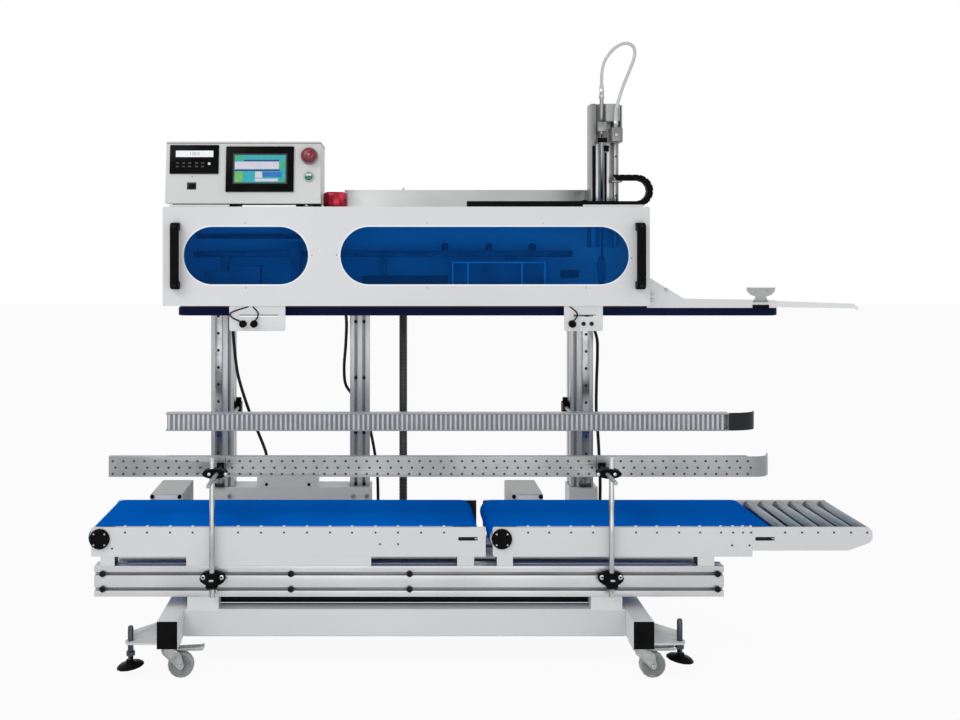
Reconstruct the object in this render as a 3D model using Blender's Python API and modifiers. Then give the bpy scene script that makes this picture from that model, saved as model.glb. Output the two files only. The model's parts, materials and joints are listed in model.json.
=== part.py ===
# Vertical vacuum sealer: two belt conveyors and a roller table on a wheeled frame,
# with a sealing head that rides up and down on two columns behind them.
# Metres. X runs along the machine, Y from the operator to the back, Z up.
# Stations along X start at a plane near the middle of the bed, those along Y at the
# front face of the conveyors, and the root empty then centres the whole machine.

from math import atan2, cos, pi, radians, sin

import bmesh
import bpy
from mathutils import Matrix, Vector

GAP = 0.0003

# Ends of the machine, which place the root
LEFT_END = -0.870
RIGHT_END = 1.440
FRONT_END = -0.185
BACK_END = 0.765

# Base frame of welded tube
LEG_X = (-0.616, 0.744)
LEG_WIDTH = 0.060
LEG_HEIGHT = 0.080
LEG_FRONT = -0.095
BEAM_DEPTH = 0.060
REAR_BEAM_Y = 0.634
SPACER_HEIGHT = 0.037
SPACER_WIDTH = 0.092
SPACER_INSET = 0.010
WHEEL_RADIUS = 0.0375
CROWN_ROOM = 0.019
CASTER_HEIGHT = 2 * WHEEL_RADIUS + CROWN_ROOM
PLATE = 0.003

# Column supports behind the bed
PEDESTAL_TOP = 0.383
PEDESTAL_DEPTH = 0.090
PEDESTAL_BEAM = 0.080
JUNCTION_X = (-0.445, -0.229)
JUNCTION_HEIGHT = 0.034

# Casters
WHEEL_WIDTH = 0.028
CASTER_TRAIL = 0.033
CASTER_Y = (-0.057, 0.705)
AXLE_RADIUS = 0.005
FORK_SHEET = 0.0025
CROWN_RADIUS = 0.024

# Levelling feet
FOOT_OUT = 0.114
PEDAL_ROOM = 0.018
PEDAL_REACH = FOOT_OUT - PEDAL_ROOM
FOOT_FRONT_Y = -0.052
FOOT_REAR_Y = 0.690
PAD_RADIUS = 0.040
STUD_RADIUS = 0.008
STUD_LENGTH = 0.113
FOOT_LIFT = (0.022, 0.042)
FOOT_SHEET = 0.005

# Slotted bed rails
RAIL_X = (-0.850, 1.003)
RAIL_DEPTH = 0.045
RAIL_HEIGHT = 0.090
SLOT_OPENING = 0.010
SLOT_LIP = 0.004
SLOT_WIDTH = 0.019
SLOT_DEEP = 0.013

# Conveyors
BED_WIDTH = 0.320
SIDE_SHEET = 0.008
SIDE_BOTTOM = 0.329
SIDE_TOP = 0.415
BELT_TOP = 0.418
BELT_THICK = 0.002
BELT_EDGE_GAP = 0.003
DRUM_RADIUS = 0.0342
DRUM_STEPS = 20
SHAFT_RADIUS = 0.009
CAP_RADIUS = 0.030
CAP_PROUD = 0.009
CONVEYOR_X = {"left": (-0.859, 0.302), "right": (0.323, 1.087)}
DRUM_X = {"left": (-0.8335, 0.250), "right": (0.3494, 1.124)}
TENSION_SLOT = (0.058, 0.011)
MOTOR_X = {"left": (-0.756, -0.650), "right": (0.416, 0.520)}
MOTOR_BACK = 0.520
MOTOR_TOP = 0.433
FOOT_X = {"left": ((-0.832, -0.790), (0.218, 0.268)), "right": ((0.335, 0.382), (0.926, 0.975))}
SKIRT_X = (-0.579, -0.035)

# Roller table
TABLE_END = 1.440
TABLE_BOTTOM = 0.347
TABLE_CHAMFER = (0.072, 0.026)
ROLLER_COUNT = 6
ROLLER_FIRST = 1.1815
ROLLER_PITCH = 0.048
ROLLER_RADIUS = 0.0185
ROLLER_Z = 0.3975
ROLLER_SHAFT = 0.004

# Front guide: perforated channel on two posts
POST_X = (-0.500, 0.668)
POST_Y = -0.020
POST_RADIUS = 0.008
POST_BOTTOM = 0.217
POST_TOP = 0.625
CLAMP_Z = 0.269
GUIDE_X = (-0.819, 1.165)
GUIDE_Z = (0.553, 0.614)
GUIDE_Y = 0.046
GUIDE_LIP = 0.018
GUIDE_SHEET = 0.0025
GUIDE_CURL = 0.055
ROD_RADIUS = 0.006
ROD_Z = 0.580
ROD_OFFSET = 0.0155
ROD_FRONT = (-0.185, -0.149)

# Rear guide: channel full of small upright rollers
SLAT_X = (-0.707, 1.223)
SLAT_Z = (0.636, 0.694)
SLAT_Y = 0.332
SLAT_PITCH = 0.0158
SLAT_END = 1.126
SLAT_LIP = 0.004
REAR_ROD_Z = 0.660

# Columns
COLUMN_X = (-0.567, 0.702)
COLUMN_WIDTH = 0.080
COLUMN_Y = 0.624
COLUMN_TOP = 1.358
LINEAR_WIDTH = 0.025
LINEAR_DEPTH = 0.014
LINEAR_OFFSET = 0.012
LINEAR_BOTTOM = 0.400
MIDDLE_X = -0.082
MIDDLE_WIDTH = 0.070
SCREW_X = 0.072
SCREW_Y = 0.648
SCREW_RADIUS = 0.014

# Sealing head
HEAD_X = (-0.660, 0.799)
HEAD_Z = (1.062, 1.359)
COVER_Y = 0.056
COVER_SHEET = 0.0025
HEAD_SHEET = 0.003
HEAD_BACK = 0.330
HINGE_Z = HEAD_Z[1] + 0.0037
HINGE_RADIUS = 0.0034
WINDOW_Z = (1.126, 1.301)
WINDOW_X = ((-0.598, -0.223), (-0.129, 0.737))
ARM_WIDTH = 0.060
ARM_Z = (HEAD_Z[0] + 0.038, HEAD_Z[1] - 0.069)
CARRIAGE_FRONT = 0.590
TIE_Z = (HEAD_Z[0] + 0.058, HEAD_Z[0] + 0.118)
HANDLE_X = (-0.623, 0.765)
HANDLE_Z = (1.113, 1.312)
HANDLE_RADIUS = 0.008
HANDLE_REACH = 0.034

# Control box
BOX_X = (-0.653, -0.1865)
BOX_Z = (1.369, 1.557)
BOX_BACK = 0.270
BOX_FRONT = 0.054
BOX_LEAN = 0.025
METER_X = (-0.641, -0.494)
METER_Z = (1.458, 1.546)
SCREEN_X = (-0.472, -0.268)
SCREEN_Z = (1.403, 1.542)
STOP_AT = (-0.222, 1.512)
START_AT = (-0.223, 1.450)
SWITCH_AT = (-0.574, 1.422)
KNOB_AT = (-0.146, 0.130)
KNOB_RADIUS = 0.0375
KNOB_HEIGHT = 0.044

# Vacuum nozzle and its carriage
COLUMN_BODY_X = (0.637, 0.7205)
COLUMN_BODY_Y = (0.125, 0.190)
COLUMN_SUNK = 0.123
COLUMN_FOOT = HEAD_Z[1] - COLUMN_SUNK
COLUMN_LENGTH = 0.4405
COLUMN_BODY_Z = (COLUMN_FOOT, COLUMN_FOOT + COLUMN_LENGTH)
STROKE = 0.130
GUIDE_BEAM_X = (-0.122, 0.715)
GUIDE_BEAM_Y = (0.255, 0.275)
GUIDE_BEAM_TOP = HEAD_Z[1] + 0.0585
NOZZLE_X = 0.666
NOZZLE_Y = 0.112
NOZZLE_RADIUS = 0.006
NOZZLE_Z = (1.120, COLUMN_BODY_Z[1] + 0.0135)
GUIDE_BLOCKS = ((COLUMN_FOOT + 0.064, COLUMN_FOOT + 0.086),
                (COLUMN_BODY_Z[1] - 0.0865, COLUMN_BODY_Z[1] - 0.0585))
HOSE_HEAD_Z = (COLUMN_BODY_Z[1] - 0.1205, COLUMN_BODY_Z[1] - 0.0765)
CHAIN_START = 0.2535
CHAIN_LOOP_X = 0.7664
CHAIN_Y = (0.078, 0.101)
CHAIN_THICK = 0.018
CHAIN_OUTER = 0.049
CHAIN_PITCH = 0.020

# Gripping belts under the head
GRIP_X = (-0.626, 1.204)
GRIP_Z = (1.031, 1.053)
GRIP_Y = (0.100, 0.1595, 0.1605, 0.220)
GRIP_THICK = 0.003
TRACK_CLEARANCE = GAP
INFEED_Y = 0.090
INFEED_Z = (1.0545, 1.082)
INFEED_END = 1.188
WAND_END = 1.440

# Cables and hose
CABLE_RADIUS = 0.005
HOSE_RADIUS = 0.005
CABLE_LEFT = (
    (-0.500, 0.352, 1.090), (-0.500, 0.386, 1.090), (-0.500, 0.405, 1.090), (-0.508, 0.475, 1.056),
    (-0.516, 0.540, 1.004), (-0.525, 0.596, 0.930), (-0.516, 0.612, 0.813), (-0.500, 0.604, 0.746),
    (-0.468, 0.600, 0.651), (-0.440, 0.622, 0.575), (-0.420, 0.652, 0.510), (-0.416, 0.664, 0.485),
    (-0.416, 0.664, 0.4693), (-0.416, 0.664, 0.4353),
)
CABLE_MIDDLE = (
    (-0.140, 0.352, 1.090), (-0.140, 0.386, 1.090), (-0.140, 0.405, 1.090), (-0.138, 0.475, 1.056),
    (-0.128, 0.580, 0.980), (-0.132, 0.640, 0.888), (-0.140, 0.700, 0.800), (-0.137, 0.728, 0.735),
    (-0.118, 0.738, 0.700), (-0.080, 0.738, 0.650), (-0.050, 0.732, 0.577), (-0.031, 0.722, 0.489),
    (-0.021, 0.704, 0.418), (-0.018, 0.684, 0.344), (-0.018, 0.668, 0.280), (-0.018, 0.664, 0.245),
    (-0.018, 0.664, 0.2285), (-0.018, 0.664, 0.1945),
)
CABLE_RIGHT = (
    (0.640, 0.352, 1.090), (0.640, 0.386, 1.090), (0.640, 0.405, 1.090), (0.660, 0.465, 1.056),
    (0.704, 0.540, 0.995), (0.748, 0.600, 0.920), (0.758, 0.630, 0.850), (0.757, 0.640, 0.754),
    (0.752, 0.620, 0.651), (0.755, 0.602, 0.560), (0.758, 0.594, 0.470), (0.760, 0.592, 0.400),
    (0.757, 0.590, 0.300), (0.750, 0.588, 0.245), (0.750, 0.588, 0.2285), (0.750, 0.588, 0.1945),
)
HOSE_RISE = (  # heights from the column's top
    (0.666, 0.112, 0.0288), (0.666, 0.112, 0.0608), (0.666, 0.112, 0.0735),
    (0.667, 0.111, 0.0955), (0.672, 0.110, 0.1215), (0.684, 0.109, 0.1435),
    (0.702, 0.107, 0.1645), (0.722, 0.106, 0.1805), (0.740, 0.104, 0.1845),
    (0.756, 0.103, 0.1785), (0.764, 0.101, 0.1615), (0.762, 0.099, 0.1355),
    (0.752, 0.097, 0.1085), (0.738, 0.094, 0.0755), (0.724, 0.091, 0.0415),
    (0.712, 0.089, 0.0035), (0.704, 0.088, -0.0245), (0.704, 0.088, -0.0382),
    (0.704, 0.088, -0.0702),
)
HOSE_POINTS = tuple((x, y, COLUMN_BODY_Z[1] + rise) for x, y, rise in HOSE_RISE)


def clear_scene():
    for obj in list(bpy.data.objects):
        bpy.data.objects.remove(obj, do_unlink=True)


def material(name, colour, roughness, metallic=0.0, alpha=1.0):
    made = bpy.data.materials.new(name)
    made.use_nodes = True
    shader = made.node_tree.nodes["Principled BSDF"]
    shader.inputs["Base Color"].default_value = (*colour, 1.0)
    shader.inputs["Roughness"].default_value = roughness
    shader.inputs["Metallic"].default_value = metallic
    shader.inputs["Alpha"].default_value = alpha
    made.diffuse_color = (*colour, alpha)
    return made


def scratch(mesh, name="shape"):
    """A loose object to build with, which finish() turns into a node."""
    obj = bpy.data.objects.new(name, mesh)
    bpy.context.scene.collection.objects.link(obj)
    return obj


def bake(obj):
    """The evaluated mesh takes the place of the object's data and modifiers."""
    graph = bpy.context.evaluated_depsgraph_get()
    mesh = bpy.data.meshes.new_from_object(obj.evaluated_get(graph))
    if obj.type == "MESH":
        obj.modifiers.clear()
        obj.data = mesh
        return obj
    made = scratch(mesh)
    bpy.data.objects.remove(obj, do_unlink=True)
    return made


def tidy(obj, merge=1e-6):
    work = bmesh.new()
    work.from_mesh(obj.data)
    bmesh.ops.remove_doubles(work, verts=work.verts, dist=merge)
    bmesh.ops.recalc_face_normals(work, faces=work.faces)
    work.to_mesh(obj.data)
    work.free()
    return obj


def bevel(obj, width, segments=1, angle=30):
    edge = obj.modifiers.new("edge", "BEVEL")
    edge.width = width
    edge.segments = segments
    edge.limit_method = "ANGLE"
    edge.angle_limit = radians(angle)
    return bake(obj)


def block(x, y, z, edge=0.0):
    """A box between the given ends along each axis."""
    work = bmesh.new()
    bmesh.ops.create_cube(work, size=1.0)
    size = Vector((x[1] - x[0], y[1] - y[0], z[1] - z[0]))
    middle = Vector((x[0] + x[1], y[0] + y[1], z[0] + z[1])) / 2
    bmesh.ops.scale(work, vec=size, verts=work.verts)
    bmesh.ops.translate(work, vec=middle, verts=work.verts)
    mesh = bpy.data.meshes.new("block")
    work.to_mesh(mesh)
    work.free()
    made = scratch(mesh)
    return bevel(made, edge) if edge else made


# Where an outline's or a profile's own Z axis points
TURNS = {
    "Z": Matrix.Identity(4),
    "Y": Matrix(((1, 0, 0, 0), (0, 0, -1, 0), (0, 1, 0, 0), (0, 0, 0, 1))),
    "X": Matrix(((0, 0, 1, 0), (1, 0, 0, 0), (0, 1, 0, 0), (0, 0, 0, 1))),
}


def prism(loops, ends, axis):
    """Outlines in the plane across the axis, (y, z), (x, z) or (x, y), drawn out between two ends."""
    curve = bpy.data.curves.new("outline", "CURVE")
    curve.dimensions = "2D"
    curve.fill_mode = "BOTH"
    curve.extrude = (ends[1] - ends[0]) / 2
    for points in loops:
        spline = curve.splines.new("POLY")
        spline.points.add(len(points) - 1)
        for point, (u, v) in zip(spline.points, points):
            point.co = (u, v, 0, 1)
        spline.use_cyclic_u = True
    made = tidy(bake(scratch(curve)))
    made.data.transform(TURNS[axis])
    shift = Vector((0, 0, 0))
    shift["XYZ".index(axis)] = (ends[0] + ends[1]) / 2
    made.data.transform(Matrix.Translation(shift))
    return made


def turned(profile, at, axis="Z", steps=20, lean=0.0):
    """A profile of (radius, height) from top to bottom, turned about an axis through a point."""
    mesh = bpy.data.meshes.new("profile")
    points = [(radius, 0, height) for radius, height in profile]
    mesh.from_pydata(points, [(i, i + 1) for i in range(len(points) - 1)], [])
    made = scratch(mesh)
    screw = made.modifiers.new("turn", "SCREW")
    screw.steps = steps
    screw.render_steps = steps
    screw.use_merge_vertices = True
    screw.merge_threshold = 1e-5
    made = tidy(bake(made))
    made.data.transform(Matrix.Rotation(lean, 4, "Y"))
    made.data.transform(Matrix.Translation(at) @ TURNS[axis])
    return made


def cylinder(radius, ends, across, axis, steps=16):
    """A plain cylinder between two ends on an axis; across holds its two other coordinates."""
    low, high = ends
    if axis == "Y":
        at = Vector((across[0], 0, across[1]))
        low, high = -ends[1], -ends[0]
    elif axis == "X":
        at = Vector((0, across[0], across[1]))
    else:
        at = Vector((across[0], across[1], 0))
    profile = ((0, high), (radius, high), (radius, low), (0, low))
    return turned(profile, at, axis, steps)


def bore_radius(shaft, steps):
    """A faceted bore whose flats stay clear of a shaft of any facets."""
    return (shaft + GAP) / cos(pi / steps)


def rounded(x, z, radius, corners=(0, 1, 2, 3), steps=6):
    """A rectangle's outline, with a round at the named corners, from the lower left."""
    found = []
    centres = (
        (x[0], z[0], 1, 1, pi), (x[1], z[0], -1, 1, 1.5 * pi),
        (x[1], z[1], -1, -1, 0), (x[0], z[1], 1, -1, 0.5 * pi),
    )
    for number, (u, v, du, dv, start) in enumerate(centres):
        if number not in corners:
            found.append((u, v))
            continue
        for step in range(steps + 1):
            angle = start + 0.5 * pi * step / steps
            found.append((u + du * radius + radius * cos(angle), v + dv * radius + radius * sin(angle)))
    return found


def racetrack(left, right, middle, radius, steps=10):
    """A loop with half-round ends about two centres on one line."""
    found = []
    for step in range(steps + 1):
        angle = -0.5 * pi + pi * step / steps
        found.append((right + radius * cos(angle), middle + radius * sin(angle)))
    for step in range(steps + 1):
        angle = 0.5 * pi + pi * step / steps
        found.append((left + radius * cos(angle), middle + radius * sin(angle)))
    return found


def combine(target, others, operation):
    for other in others:
        change = target.modifiers.new(operation.lower(), "BOOLEAN")
        change.operation = operation
        # The exact solver leaves slits where many welded pieces meet, and this one doesn't
        change.solver = "MANIFOLD"
        change.object = other
        target = bake(target)
        bpy.data.objects.remove(other, do_unlink=True)
    return target


def fuse(*pieces):
    return combine(pieces[0], pieces[1:], "UNION")


def cut(target, *cutters):
    return combine(target, cutters, "DIFFERENCE")


def moved(obj, matrix):
    obj.data.transform(matrix)
    return obj


def finish(name, obj, finish_of, pivot=(0, 0, 0)):
    """Names the node, hangs it on the root and puts its origin on its joint's axis."""
    obj.name = name
    obj.data.name = name
    obj.data.materials.clear()
    obj.data.materials.append(finish_of)
    obj.data.transform(Matrix.Translation(-Vector(pivot)))
    obj.location = pivot
    obj.parent = root
    for old in list(obj.users_collection):
        old.objects.unlink(obj)
    machine.objects.link(obj)
    obj.data.shade_smooth()
    obj.data.set_sharp_from_angle(angle=radians(35))
    return obj


def smooth_route(points, spacing):
    """Points at an even spacing along a smooth curve through the route's own points."""
    route = [Vector(p) for p in points]
    route = [route[0] * 2 - route[1]] + route + [route[-1] * 2 - route[-2]]
    fine = []
    for a, b, c, d in zip(route, route[1:], route[2:], route[3:]):
        for step in range(16):
            t = step / 16
            fine.append(
                0.5 * (2 * b + (c - a) * t + (2 * a - 5 * b + 4 * c - d) * t * t
                       + (3 * b - a - 3 * c + d) * t * t * t)
            )
    fine.append(route[-2])
    lengths = [0.0]
    for a, b in zip(fine, fine[1:]):
        lengths.append(lengths[-1] + (b - a).length)
    count = max(2, round(lengths[-1] / spacing))
    even = []
    place = 0
    for number in range(count + 1):
        wanted = lengths[-1] * number / count
        while place < len(fine) - 2 and lengths[place + 1] < wanted:
            place += 1
        share = (wanted - lengths[place]) / (lengths[place + 1] - lengths[place])
        even.append(fine[place].lerp(fine[place + 1], share))
    return even


def cord(name, points, radius, finish_of):
    curve = bpy.data.curves.new(name, "CURVE")
    curve.dimensions = "3D"
    curve.bevel_depth = radius
    curve.bevel_resolution = 2
    curve.use_fill_caps = True
    route = smooth_route(points, radius * 6)
    spline = curve.splines.new("POLY")
    spline.points.add(len(route) - 1)
    for point, place in zip(spline.points, route):
        point.co = (*place, 1)
    obj = bpy.data.objects.new(name, curve)
    obj.parent = root
    machine.objects.link(obj)
    curve.materials.append(finish_of)
    return obj


def leg_bottom():
    return CASTER_HEIGHT


def leg_top():
    return CASTER_HEIGHT + LEG_HEIGHT


def rail_bottom():
    return leg_top() + SPACER_HEIGHT + GAP


def rail_top():
    return rail_bottom() + RAIL_HEIGHT


def outward(leg):
    """-1 on the left leg and +1 on the right one."""
    return -1 if leg == 0 else 1


def foot_place(leg, y):
    return LEG_X[leg] + outward(leg) * FOOT_OUT, y


def levelling_plate(leg, y, back):
    """A sheet gusset that carries a levelling foot, its slanted edge folded up."""
    side = LEG_X[leg] + outward(leg) * (LEG_WIDTH / 2 - 0.003)
    tip_x, tip_y = foot_place(leg, y)
    out = outward(leg)
    near = y - back * 0.022
    far = y + back * 0.120
    corner = (tip_x + out * 0.006, y + back * 0.020)
    loop = [(side, near), (tip_x + out * 0.008, near), (tip_x + out * 0.016, y), corner, (side, far)]
    base = leg_bottom() + 0.004
    sheet = prism([loop], (base, base + FOOT_SHEET), "Z")
    length = (Vector((side, far)) - Vector(corner)).length
    turn = atan2(far - corner[1], side - corner[0])
    fold = block((0, length), (-0.002, 0.002), (base + 0.001, base + 0.024))
    moved(fold, Matrix.Translation((*corner, 0)) @ Matrix.Rotation(turn, 4, "Z"))
    hole = cylinder(STUD_RADIUS + 0.0008, (base - 0.01, base + 0.03), (tip_x, tip_y), "Z", 8)
    return cut(fuse(sheet, fold), hole)


def base_frame():
    half = LEG_WIDTH / 2
    low, high = leg_bottom(), leg_top()
    pieces = [
        block((x - half, x + half), (LEG_FRONT, BACK_END), (low, high), 0.003) for x in LEG_X
    ]
    span = (LEG_X[0] + half - 0.001, LEG_X[1] - half + 0.001)
    pieces.append(block(span, (0, BEAM_DEPTH), (low, high), 0.003))
    pieces.append(block(span, (REAR_BEAM_Y, REAR_BEAM_Y + BEAM_DEPTH), (low, high), 0.003))
    spacer = (high - 0.002, high + SPACER_HEIGHT)
    rear_rail = BED_WIDTH - RAIL_DEPTH
    for leg, x in enumerate(LEG_X):
        inner = x - outward(leg) * (half + SPACER_INSET)
        far = inner - outward(leg) * SPACER_WIDTH
        pieces.append(block((min(inner, far), max(inner, far)), (0.001, RAIL_DEPTH), spacer))
        pieces.append(block((x - half + 0.004, x + half - 0.004), (rear_rail, BED_WIDTH), spacer))
    front = COLUMN_Y - 0.005
    depth = (front, front + PEDESTAL_DEPTH)
    ends = (COLUMN_X[0] - COLUMN_WIDTH / 2, MIDDLE_X + MIDDLE_WIDTH / 2 + 0.008)
    pieces.append(block(ends, depth, (PEDESTAL_TOP - PEDESTAL_BEAM, PEDESTAL_TOP)))
    for x in (COLUMN_X[0], MIDDLE_X):
        foot = (high - 0.001, PEDESTAL_TOP - PEDESTAL_BEAM + 0.001)
        inside = (REAR_BEAM_Y + 0.004, REAR_BEAM_Y + BEAM_DEPTH - 0.004)
        pieces.append(block((x - 0.030, x + 0.030), inside, foot))
    right = COLUMN_X[1]
    pieces.append(block((right - 0.045, right + 0.055), depth, (high - 0.001, PEDESTAL_TOP)))
    box_y = (front + 0.010, front + 0.080)
    pieces.append(
        block(JUNCTION_X, box_y, (PEDESTAL_TOP - 0.001, PEDESTAL_TOP + JUNCTION_HEIGHT))
    )
    for end, top in ((CABLE_LEFT[-1], PEDESTAL_TOP + JUNCTION_HEIGHT),
                     (CABLE_MIDDLE[-1], high), (CABLE_RIGHT[-1], high)):
        pieces.append(cylinder(0.009, (top - 0.002, end[2] - GAP), end[:2], "Z", 8))
    for leg, x in enumerate(LEG_X):
        for y in CASTER_Y:
            pad = (low - PLATE, low + 0.001)
            pieces.append(block((x - 0.029, x + 0.029), (y - 0.029, y + 0.029), pad))
        pieces.append(levelling_plate(leg, FOOT_FRONT_Y, 1))
        pieces.append(levelling_plate(leg, FOOT_REAR_Y, -1))
    finish("base_frame", fuse(*pieces), white_paint)


def caster(name, leg, y, braked):
    swivel_x = LEG_X[leg]
    axle_x = swivel_x + CASTER_TRAIL
    inner = WHEEL_WIDTH / 2 + 0.0015
    top = CASTER_HEIGHT - PLATE - GAP
    crown_low = top - 0.011
    cheek = []
    reach = 0.011
    for step in range(4):
        angle = pi * 1.08 + (pi * 0.92) * step / 3
        cheek.append((axle_x + reach * cos(angle), WHEEL_RADIUS + reach * sin(angle)))
    cheek += [(axle_x + 0.004, crown_low - 0.010), (swivel_x + 0.022, crown_low + 0.003)]
    cheek += [(swivel_x - 0.022, crown_low + 0.003), (swivel_x - 0.018, crown_low - 0.008)]
    pieces = [
        turned(((0, top), (CROWN_RADIUS - 0.004, top), (CROWN_RADIUS, top - 0.003),
                (CROWN_RADIUS, crown_low), (0, crown_low)), (swivel_x, y, 0), "Z", 12)
    ]
    for side in (-1, 1):
        ends = sorted((y + side * inner, y + side * (inner + FORK_SHEET)))
        pieces.append(prism([cheek], ends, "Y"))
    pieces.append(cylinder(AXLE_RADIUS, (y - inner - 0.005, y + inner + 0.005), (axle_x, WHEEL_RADIUS), "Y", 8))
    if braked:
        end = swivel_x + PEDAL_REACH
        start = swivel_x + 0.016
        pedal = [(start, crown_low + 0.002), (start, crown_low + 0.006), (end - 0.004, top - 0.001),
                 (end, top - 0.004), (end - 0.001, top - 0.010), (axle_x + 0.020, crown_low)]
        pieces.append(prism([pedal], (y - 0.013, y + 0.013), "Y"))
    finish("caster_fork_" + name, fuse(*pieces), zinc, (swivel_x, y, CASTER_HEIGHT))
    half = WHEEL_WIDTH / 2
    bore = AXLE_RADIUS + GAP
    profile = (
        (bore, half - 0.002), (0.013, half - 0.002), (0.015, half - 0.007), (0.028, half - 0.001),
        (WHEEL_RADIUS - 0.003, half - 0.001), (WHEEL_RADIUS, half - 0.006),
        (WHEEL_RADIUS, 0.006 - half), (WHEEL_RADIUS - 0.003, 0.001 - half),
        (bore, 0.001 - half), (bore, half - 0.002),
    )
    wheel = turned(profile, (axle_x, y, WHEEL_RADIUS), "Y", 16)
    finish("caster_wheel_" + name, wheel, pale_rubber, (axle_x, y, WHEEL_RADIUS))


def levelling_foot(name, leg, y, lift):
    x, y = foot_place(leg, y)
    lean = radians(8) * outward(leg)
    pad = turned(((0, 0.022), (0.010, 0.022), (0.012, 0.014), (PAD_RADIUS - 0.006, 0.009),
                  (PAD_RADIUS, 0.003), (0, 0)), (x, y, lift + 0.005), "Z", 12, lean)
    stud_top = lift + 0.010 + STUD_LENGTH
    stud = turned(((0, stud_top), (STUD_RADIUS - 0.002, stud_top), (STUD_RADIUS, stud_top - 0.003),
                   (STUD_RADIUS, lift + 0.050), (0.013, lift + 0.050), (0.013, lift + 0.039),
                   (STUD_RADIUS, lift + 0.037), (STUD_RADIUS, lift + 0.014), (0, lift + 0.014)),
                  (x, y, 0), "Z", 8)
    finish("levelling_foot_" + name, fuse(stud, pad), black_steel, (x, y, lift))


def slot_notch(start, along, inward):
    """The points of one T-slot, entered at its middle, going along the face."""
    def at(a, b):
        return (start[0] + along[0] * a + inward[0] * b, start[1] + along[1] * a + inward[1] * b)
    mouth, wide = SLOT_OPENING / 2, SLOT_WIDTH / 2
    return [at(-mouth, 0), at(-mouth, SLOT_LIP), at(-wide, SLOT_LIP), at(-wide * 0.6, SLOT_DEEP),
            at(wide * 0.6, SLOT_DEEP), at(wide, SLOT_LIP), at(mouth, SLOT_LIP), at(mouth, 0)]


def slotted(u, v, bottom=(), right=(), top=(), left=()):
    """An extrusion's outline with T-slots at the given places on each face."""
    loop = [(u[0], v[0])]
    for place in sorted(bottom):
        loop += slot_notch((place, v[0]), (1, 0), (0, 1))
    loop.append((u[1], v[0]))
    for place in sorted(right):
        loop += slot_notch((u[1], place), (0, 1), (-1, 0))
    loop.append((u[1], v[1]))
    for place in sorted(top, reverse=True):
        loop += slot_notch((place, v[1]), (-1, 0), (0, -1))
    loop.append((u[0], v[1]))
    for place in sorted(left, reverse=True):
        loop += slot_notch((u[0], place), (0, -1), (1, 0))
    return loop


def bed_rail(name, y):
    z = (rail_bottom(), rail_top())
    rows = (z[0] + RAIL_HEIGHT / 4, z[1] - RAIL_HEIGHT / 4)
    middle = y + RAIL_DEPTH / 2
    loop = slotted((y, y + RAIL_DEPTH), z, (middle,), rows, (middle,), rows)
    finish(name, prism([loop], RAIL_X, "X"), anodised)


def drum_z():
    return BELT_TOP - BELT_THICK - GAP - DRUM_RADIUS


def drum_face():
    """A faceted drum's radius that turns clear of the flats in its belt's bends."""
    return (DRUM_RADIUS + GAP) * cos(pi / DRUM_STEPS) - GAP


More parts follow.
